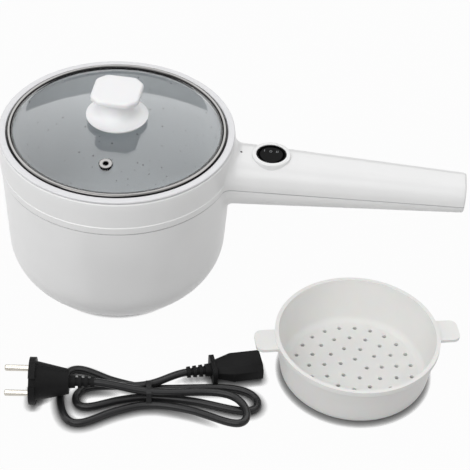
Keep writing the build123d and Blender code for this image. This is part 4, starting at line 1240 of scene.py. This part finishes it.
@dataclass
class Lead:
    """Detachable lead: a hank of five strands through one tie, between its connector and its plug."""

    middle_x: float = 0.039
    middle_y: float = -0.144
    turn: float = 9.2
    diameter: float = 0.006
    length: float = 0.752
    strand_gap: float = 0.00145
    clear: float = 0.00005
    tie_distance: float = 0.008
    tie_middle: float = -0.0046
    tie_thickness: float = 0.001
    tie_clearance: float = 0.00015
    reach: tuple[float, ...] = (0.056, 0.084, 0.068, 0.074)
    half_width: tuple[float, ...] = (0.009, -0.0094, 0.025, -0.0134)
    middle: tuple[float, ...] = (-0.003, -0.0115, 0.003, -0.020)
    lift: tuple[float, ...] = (0.0, 0.0, 0.0, 0.0074)
    fullness: float = 0.55
    settle: float = 1.5
    loop_points: int = 16
    spline_order: int = 3
    spline_steps: int = 6
    round_steps: int = 6
    plug_tail: tuple[float, float, float] = (-0.0336, -0.0029, 0.0184)
    plug_turn: float = 177.5
    connector_tail: tuple[float, float, float] = (0.038, 0.0165, 0.0083)
    connector_turn: float = 8.0

    def hank_points(self, along: np.ndarray, across: np.ndarray, height: np.ndarray) -> np.ndarray:
        """Turns points of the hank's own frame into the part's frame.

        Args:
            along: Distances along the hank from its middle.
            across: Distances across it.
            height: Heights above the table.

        Returns:
            Points, three numbers each.
        """
        turn = radians(self.turn)
        x = self.middle_x + along * cos(turn) - across * sin(turn)
        y = self.middle_y + along * sin(turn) + across * cos(turn)
        return np.stack([x, y, height], axis=-1)

    def heading(self, turn: float) -> np.ndarray:
        """Level direction at an angle in degrees to the hank's length."""
        angle = radians(self.turn + turn)
        return np.array([cos(angle), sin(angle), 0.0])

    def slots(self) -> list[tuple[float, float]]:
        """Places of the strands in the tie, two over three, in the order that the lead takes them.

        Returns:
            Offset across the hank and height of each strand.
        """
        pitch = self.diameter + self.strand_gap
        first = self.diameter / 2 + self.clear + self.tie_thickness + self.tie_clearance
        second = first + pitch
        offsets = np.array((0.5, 0.0, 1.0, -1.0, -0.5)) * pitch
        heights = (second, first, first, first, second)
        return list(zip(offsets.tolist(), heights))

    def loop(self, number: int) -> np.ndarray:
        """Points of one loop, from its slot in the tie to the next.

        With t from 0 to 1 and swell = sin(pi t), the loop reaches out by reach swell^fullness, swings
        across by half_width sin(2 pi t) + middle swell, and settles from the slots to the table.

        Args:
            number: Which loop, from the connector's end.

        Returns:
            Points of the loop, without its last one.
        """
        slots = self.slots()
        (start, start_height), (end, end_height) = slots[number], slots[number + 1]
        t = np.linspace(0, 1, self.loop_points, endpoint=False)
        swell = np.clip(np.sin(pi * t), 0, None)
        side = -1 if number % 2 == 0 else 1
        along = self.tie_distance + side * self.reach[number] * swell**self.fullness
        across = self.tie_middle + start + (end - start) * t
        across += self.half_width[number] * np.sin(2 * pi * t) + self.middle[number] * swell
        slot_height = start_height + (end_height - start_height) * t
        tip = self.diameter / 2 + self.clear + self.lift[number]
        height = tip + (slot_height - tip) * (1 - swell) ** self.settle
        return self.hank_points(along, across, height)

    def route(self) -> np.ndarray:
        """Control points of the lead, from the connector round the loops to the plug.

        Returns:
            Points, three numbers each.
        """
        connector = self.hank_points(*np.array(self.connector_tail))
        plug = self.hank_points(*np.array(self.plug_tail))
        out = self.diameter * self.heading(self.connector_turn)
        away = self.diameter * self.heading(self.plug_turn)
        offset, height = self.slots()[-1]
        end = self.hank_points(*np.array((self.tie_distance, self.tie_middle + offset, height)))
        loops = [self.loop(number) for number in range(len(self.reach))]
        return np.concatenate([[connector, connector - out], *loops, [end, plug - away, plug]])

    def sheath(self) -> None:
        points = self.route()
        curve = bpy.data.curves.new("lead_sheath", "CURVE")
        curve.dimensions = "3D"
        spline = curve.splines.new("NURBS")
        spline.points.add(len(points) - 1)
        weighted = np.concatenate([points, np.ones((len(points), 1))], axis=1)
        spline.points.foreach_set("co", weighted.ravel())
        spline.order_u = self.spline_order
        spline.use_endpoint_u = True
        spline.resolution_u = self.spline_steps
        curve.bevel_depth = self.diameter / 2
        curve.bevel_resolution = self.round_steps
        obj = linked("lead_sheath", curve)
        place_piece(obj, Finishes.SHEATH, Body.POT, ["power_lead"])

    def build(self) -> None:
        """Builds the pieces on the lead, then its cord."""
        pieces = [
            smooth_copy("mains_plug", Finishes.BLACK, Body.POT),
            smooth_copy("plug_pins", Finishes.PIN, Body.POT),
            smooth_copy("lead_connector", Finishes.BLACK, Body.POT),
            smooth_copy("connector_contacts", Finishes.PIN, Body.POT),
            smooth_copy("cord_tie", Finishes.TIE, Body.POT),
        ]
        self.sheath()


@dataclass(frozen=True)
class Lamp:
    """Square soft lamp that faces the pot, and whether gloss shows it."""

    name: str
    place: tuple[float, float, float]
    side: float
    power: float
    mirrored: bool = True


@dataclass
class Studio:
    """Pale floor, soft light and a camera at the photograph's angle."""

    ambient: float = 0.45
    zenith: tuple[float, float] = (0.45, 0.95)
    zenith_level: float = 0.25
    horizon: tuple[float, float] = (0.368, 0.388)
    horizon_middle: float = -0.13
    horizon_rise: float = 0.17
    horizon_level: float = 0.1
    front_level: float = 1.0
    sheet_level: float = 2.7
    sheet_start: tuple[float, float] = (-0.1, 0.3)
    floor_half: float = 4.0
    floor_points: int = 3
    floor_glow: float = 0.97
    contact: float = 0.006
    contact_depth: float = 4.0
    contact_samples: int = 8
    floor_colour: Colour = paint(140, 140, 140)
    floor_bounce: Colour = paint(168, 168, 168)
    white: Colour = (1.0, 1.0, 1.0, 1.0)
    aim: tuple[float, float, float] = (0.0971, 0.0, 0.0494)
    bearing: float = 3.816
    elevation: float = 40.398
    roll: float = 3.324
    distance: float = 1.3
    picture: int = 470
    focal: float = 1585.7
    sensor: float = 36.0
    lamps: tuple[Lamp, ...] = (
        Lamp("key", (-0.45, -1.3, 1.5), 1.7, 18.0),
        Lamp("side", (-1.6, -0.5, 0.5), 1.2, 6.0),
        Lamp("fill", (1.5, -1.0, 0.6), 1.2, 3.0),
        Lamp("back", (0.4, 1.8, 0.7), 1.4, 9.0, mirrored=False),
    )

    def seen(self, graph: Graph) -> Shade:
        """1 for rays that show the surroundings: to the camera, in gloss and through glass."""
        camera = graph.add("ShaderNodeLightPath", output=Ray.CAMERA.value)
        return camera.most(camera.other(Ray.GLOSSY.value)).most(camera.other(Ray.TRANSMISSION.value))

    def floor(self) -> None:
        """Builds the floor: a flat grid that keeps the shadow and is white where nothing lies close."""
        line = np.linspace(-self.floor_half, self.floor_half, self.floor_points)
        x, y = np.meshgrid(line, line, indexing="ij")
        grid = Grid(np.stack([x, y, 0 * x], axis=-1))
        mesh = bpy.data.meshes.new("floor")
        mesh.from_pydata(grid.points.reshape(-1, 3).tolist(), [], grid.faces().tolist())
        material = bpy.data.materials.new("studio_floor")
        material.use_nodes = True
        graph = Graph(material.node_tree)
        seen = self.seen(graph)
        tone = graph.blend(seen, self.floor_bounce, self.floor_colour)
        lit = graph.add("ShaderNodeBsdfDiffuse", inputs={"Color": tone})
        glow = graph.add("ShaderNodeEmission", inputs={"Color": self.white, "Strength": 1.0})
        samples, reach = {"samples": self.contact_samples}, {"Distance": self.contact}
        clear = graph.add("ShaderNodeAmbientOcclusion", samples, reach, "AO")
        share = seen * clear**self.contact_depth * self.floor_glow
        both = graph.add("ShaderNodeMixShader", inputs={0: share, 1: lit, 2: glow})
        graph.add("ShaderNodeOutputMaterial", inputs={"Surface": both})
        mesh.materials.append(material)
        obj = linked("floor", mesh)

    def world(self) -> None:
        """Sets the sky: white to the eye, brightest overhead as light, dim near the horizon in gloss.

        Gloss shows the sheet of light overhead, brighter behind the pot, whose edge lies where the
        height of the direction less its rise to the sides passes the horizon's values.
        """
        world = bpy.data.worlds.new("studio")
        bpy.context.scene.world = world
        world.use_nodes = True
        graph = Graph(world.node_tree)
        x, y, height = graph.axes(graph.add("ShaderNodeTexCoord", output="Generated"))
        aside = x - self.horizon_middle
        sheet = graph.step(height - aside.most(0 - aside) * self.horizon_rise, *self.horizon)
        level = self.front_level + graph.step(y, *self.sheet_start) * (self.sheet_level - self.front_level)
        mirrored = self.horizon_level + sheet * (level - self.horizon_level)
        diffuse = self.ambient + graph.step(height, *self.zenith) * self.zenith_level
        camera = graph.add("ShaderNodeLightPath", output=Ray.CAMERA.value)
        gloss = camera.other(Ray.GLOSSY.value)
        direct = camera.most(camera.other(Ray.TRANSMISSION.value))
        strength = direct + (1 - direct) * (gloss * mirrored + (1 - gloss) * diffuse)
        sky = graph.add("ShaderNodeBackground", inputs={"Color": self.white, "Strength": strength})
        graph.add("ShaderNodeOutputWorld", inputs={"Surface": sky})

    def light(self) -> None:
        """Adds the soft lamps, each a square facing the object."""
        for lamp in self.lamps:
            light = bpy.data.lights.new(lamp.name, "AREA")
            light.shape = "SQUARE"
            light.size = lamp.side
            light.energy = lamp.power
            obj = linked(lamp.name, light)
            away = Vector(lamp.place) - Vector(self.aim)
            obj.location = lamp.place
            obj.rotation_euler = away.to_track_quat("Z", "Y").to_euler()
            obj.visible_glossy = lamp.mirrored
            obj.visible_transmission = lamp.mirrored

    def camera(self) -> None:
        """Sets the camera: turned to its bearing and elevation about the aim, then rolled."""
        bearing, elevation, roll = radians(self.bearing), radians(self.elevation), radians(self.roll)
        back = Vector((sin(bearing) * cos(elevation), -cos(bearing) * cos(elevation), sin(elevation)))
        level = Vector((cos(bearing), sin(bearing), 0))
        upright = back.cross(level)
        right = level * cos(roll) + upright * sin(roll)
        up = upright * cos(roll) - level * sin(roll)
        lens = bpy.data.cameras.new("view")
        lens.sensor_width = self.sensor
        lens.lens = self.focal / self.picture * self.sensor
        obj = linked("view", lens)
        turn = Matrix((right, up, back)).transposed().to_4x4()
        obj.matrix_world = Matrix.Translation(Vector(self.aim) + back * self.distance) @ turn
        bpy.context.scene.camera = obj

    def build(self) -> None:
        """Sets up the studio."""
        bpy.context.scene.view_settings.view_transform = "Standard"
        self.floor()
        self.world()
        self.light()
        self.camera()


def main() -> None:
    """Builds the studio and every sub-assembly."""
    logging.basicConfig(level=logging.INFO, format="%(name)s: %(message)s")
    for assembly in (Studio(), Lead(), Housing(), Mouth(), Lid(), Switch(), Inlet(), Heater(), Basket()):
        log.info("building %s", type(assembly).__name__)
        assembly.build()


if __name__ == "__main__":
    main()
